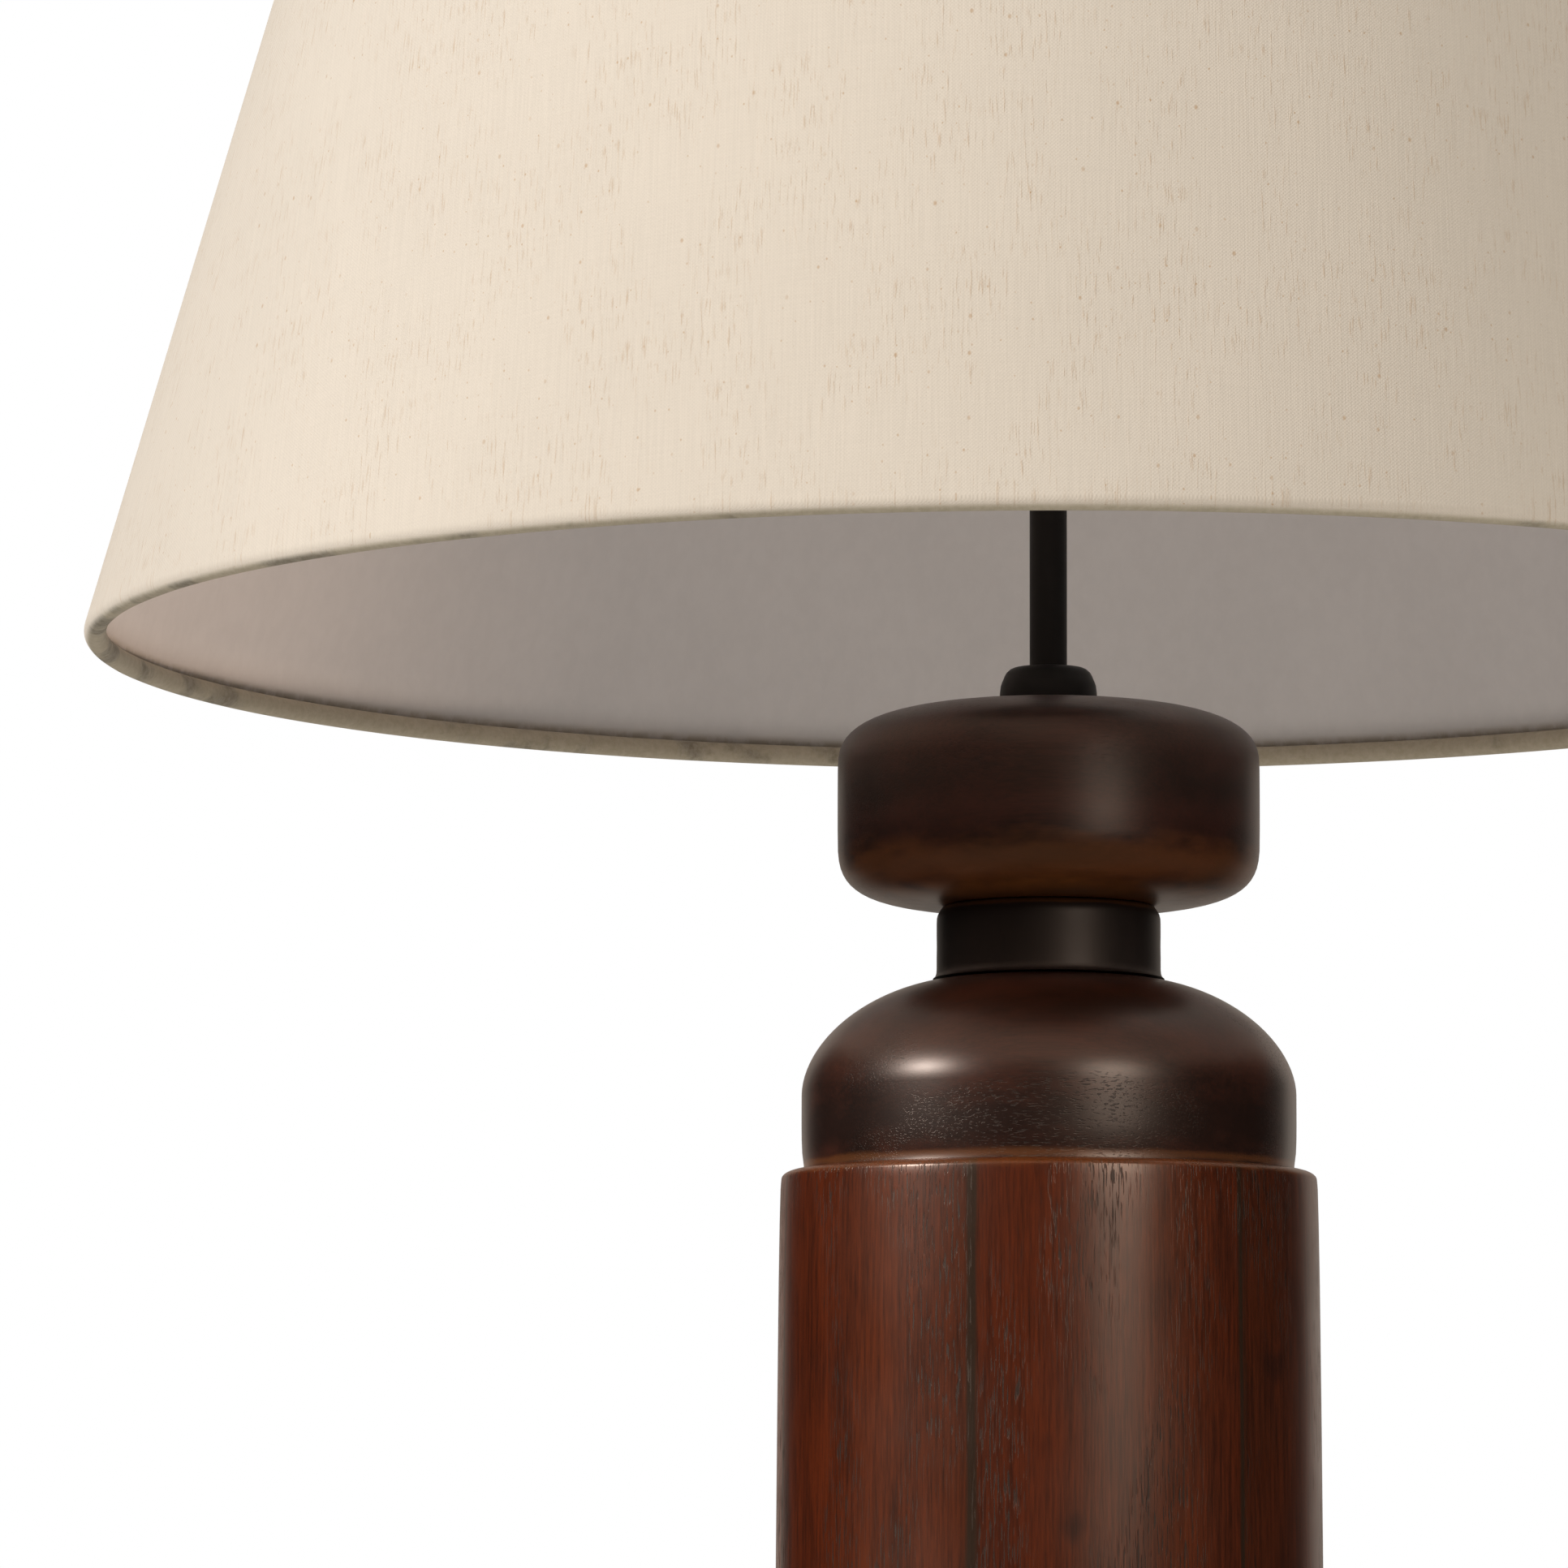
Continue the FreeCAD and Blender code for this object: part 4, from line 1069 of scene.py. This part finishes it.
class LAMP_OT_finial(bpy.types.Operator):
    """Turned wooden knob on top of the shade"""

    bl_idname = "lamp.finial"
    bl_label = "Finial"

    def execute(self, context):
        settings = context.scene.lamp_column
        low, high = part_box("finial_knob")
        foot = (low.z - RIM) / MM
        full = high.x / MM
        side = shoulder((3.0, foot + 20.78), (full, foot + 12.6), 2.2, steps=14)
        under = shoulder((6.6, foot + 2.2), (full, foot + 8.6), 2.2, steps=12)
        outline = [
            (0.0, foot + 20.8), *side, (full, foot + 10.6), *reversed(under), (6.6, foot + 1.0),
            (6.3, foot + 0.1), (4.7, foot + 0.1), (4.7, foot + 13.1), (0.0, foot + 13.1),
        ]
        finish = wood("finial_wood", settings.dome, shift=(0.02, 0.04, 0.6), spread=1.4,
                      bands=[(low.z + 0.0195, 0.002, 0.4, settings.worn)])
        mesh = profile_mesh(below_rim(outline), closed=False)
        spin(mesh, 96)
        piece("turned_finial", mesh, "finial", ["finial_knob"], finish)
        return {"FINISHED"}


# ---------------------------------------------------------------- stage

def area_light(name, place, aim, size, power, colour):
    """A rectangular soft box that lights the lamp but isn't seen."""
    data = bpy.data.lights.new(name, "AREA")
    data.shape = "RECTANGLE"
    data.size, data.size_y = size
    data.energy = power
    data.color = colour
    made = placed(name, data)
    made.location = place
    made.rotation_euler = (Vector(aim) - Vector(place)).to_track_quat("-Z", "Y").to_euler()
    made.visible_camera = False
    return made


def round_the_lamp(bearing_deg, distance, height):
    """A place round the lamp: bearing from the front, positive to the right."""
    a = math.radians(bearing_deg)
    return (distance * math.sin(a), -distance * math.cos(a), height)


def by_ray(tree, kind, other, wanted):
    """One shader for rays of a kind, another for the rest."""
    path = tree.nodes.new("ShaderNodeLightPath")
    inputs = {0: path.outputs[kind], 1: other, 2: wanted}
    return put(tree, "ShaderNodeMixShader", inputs).outputs[0]


class LAMP_OT_stage(bpy.types.Operator):
    """Floor, background, soft boxes and camera"""

    bl_idname = "lamp.stage"
    bl_label = "Stage"

    def execute(self, context):
        settings = context.scene.lamp_stage
        self.floor(settings)
        self.surroundings(context.scene)
        self.lights()
        self.camera(context.scene, settings)
        context.scene.view_settings.view_transform = "Standard"
        return {"FINISHED"}

    def floor(self, settings):
        mesh = bmesh.new()
        bmesh.ops.create_circle(mesh, cap_ends=True, radius=9.0, segments=96)
        data = bpy.data.meshes.new("floor")
        mesh.to_mesh(data)
        mesh.free()
        made = placed("floor", data)
        data.materials.append(self.pale_floor(settings))
        made.visible_glossy = False

    def pale_floor(self, settings):
        """Matt floor that looks as pale as the background but throws no light of its own."""
        made = hard_finish("pale_floor", settings.floor, 0.0, 0.85, grain=60.0, bump=0.0002)
        tree = made.node_tree
        plain = tree.nodes["Principled BSDF"].outputs[0]
        glow = put(tree, "ShaderNodeEmission", {"Color": shown(settings.floor), "Strength": 0.4})
        brighter = put(tree, "ShaderNodeAddShader", {0: plain, 1: glow.outputs[0]}).outputs[0]
        seen = by_ray(tree, "Is Camera Ray", plain, brighter)
        feed(tree, tree.nodes["Material Output"], {"Surface": seen})
        return made

    def surroundings(self, scene):
        """White to the camera, a soft grey as light, and dark in the lacquer's reflections."""
        world = bpy.data.worlds.new("studio")
        scene.world = world
        world.use_nodes = True
        tree = world.node_tree
        tree.nodes.clear()
        white, soft, dark = (
            put(tree, "ShaderNodeBackground", {"Color": colour, "Strength": strength}).outputs[0]
            for colour, strength in (
                ((1, 1, 1, 1), 1.0), ((1.0, 0.98, 0.95, 1), 0.24), ((1, 0.98, 0.96, 1), 0.02),
            )
        )
        lit = by_ray(tree, "Is Glossy Ray", soft, dark)
        put(tree, "ShaderNodeOutputWorld", {
            "Surface": by_ray(tree, "Is Camera Ray", lit, white),
        })

    def lights(self):
        middle = (0, 0, RIM - 0.12)
        cool, warm = (1.0, 0.985, 0.96), (1.0, 0.94, 0.85)
        dusk, amber = (1.0, 0.88, 0.76), (1.0, 0.72, 0.53)
        left = round_the_lamp(-62, 2.1, RIM + 0.95)
        front = round_the_lamp(30, 2.4, RIM + 0.82)
        below = round_the_lamp(140, 1.83, 0.10)
        far_wall = (-0.22, 0.10, RIM + 0.03)
        area_light("left_box", left, middle, (0.45, 0.5), 36.5, cool)
        area_light("front_box", front, middle, (0.92, 1.45), 21, warm)
        area_light("backdrop", (0.2, 2.4, RIM + 0.1), middle, (3.4, 2.1), 12, dusk)
        inside = area_light("inside_fill", below, far_wall, (0.9, 0.6), 27, amber)
        only = bpy.data.collections.new("lit_from_below")
        only.objects.link(bpy.data.objects["inner_lining"])
        inside.light_linking.receiver_collection = only
        glow = area_light("floor_glow", (0, 0, 0.03), (0, 0, 1), (2.4, 2.4), 2.8, warm)
        for unseen in (inside, glow):
            unseen.visible_glossy = False

    def camera(self, scene, settings):
        data = bpy.data.cameras.new("camera")
        data.sensor_width = 36.0
        data.lens = settings.lens
        data.clip_end = 60.0
        made = placed("camera", data)
        pan, pitch, roll = settings.pan, settings.pitch, settings.roll
        level = math.cos(pitch)
        ahead = Vector((-math.sin(pan) * level, math.cos(pan) * level, math.sin(pitch)))
        right = Vector((math.cos(pan), math.sin(pan), 0))
        up = right.cross(ahead)
        leaned_right = right * math.cos(roll) + up * math.sin(roll)
        leaned_up = up * math.cos(roll) - right * math.sin(roll)
        turn = Matrix((leaned_right, leaned_up, -ahead)).transposed()
        place = Vector((0, -settings.distance, RIM - settings.below))
        made.matrix_world = Matrix.Translation(place) @ turn.to_4x4()
        scene.camera = made


class LAMP_PT_panel(bpy.types.Panel):
    """Lists the lamp's pieces and settings"""

    bl_idname = "LAMP_PT_panel"
    bl_label = "Tripod floor lamp"
    bl_space_type = "VIEW_3D"
    bl_region_type = "UI"
    bl_category = "Lamp"

    def draw(self, context):
        for operator in OPERATORS:
            self.layout.operator(operator.bl_idname)
        for attribute, settings in SETTINGS.items():
            box = self.layout.box()
            group_settings = getattr(context.scene, attribute)
            for name in settings.__annotations__:
                box.prop(group_settings, name)


SETTINGS = {
    "lamp_shade": ShadeSettings,
    "lamp_column": ColumnSettings,
    "lamp_hardware": HardwareSettings,
    "lamp_stage": StageSettings,
}
OPERATORS = (
    LAMP_OT_shade,
    LAMP_OT_column,
    LAMP_OT_barrel,
    LAMP_OT_legs,
    LAMP_OT_hardware,
    LAMP_OT_holder,
    LAMP_OT_bulb,
    LAMP_OT_finial,
    LAMP_OT_stage,
)


def register():
    for kind in (*SETTINGS.values(), *OPERATORS, LAMP_PT_panel):
        bpy.utils.register_class(kind)
    for attribute, settings in SETTINGS.items():
        setattr(bpy.types.Scene, attribute, bpy.props.PointerProperty(type=settings))


def unregister():
    for attribute in SETTINGS:
        delattr(bpy.types.Scene, attribute)
    for kind in reversed((*SETTINGS.values(), *OPERATORS, LAMP_PT_panel)):
        bpy.utils.unregister_class(kind)


def main():
    register()
    build_timber_group()
    build_wear_and_shade_band_group()
    build_handled_group()
    build_weave_group()
    for operator in OPERATORS:
        area, name = operator.bl_idname.split(".")
        getattr(getattr(bpy.ops, area), name)()


if __name__ == "__main__":
    main()
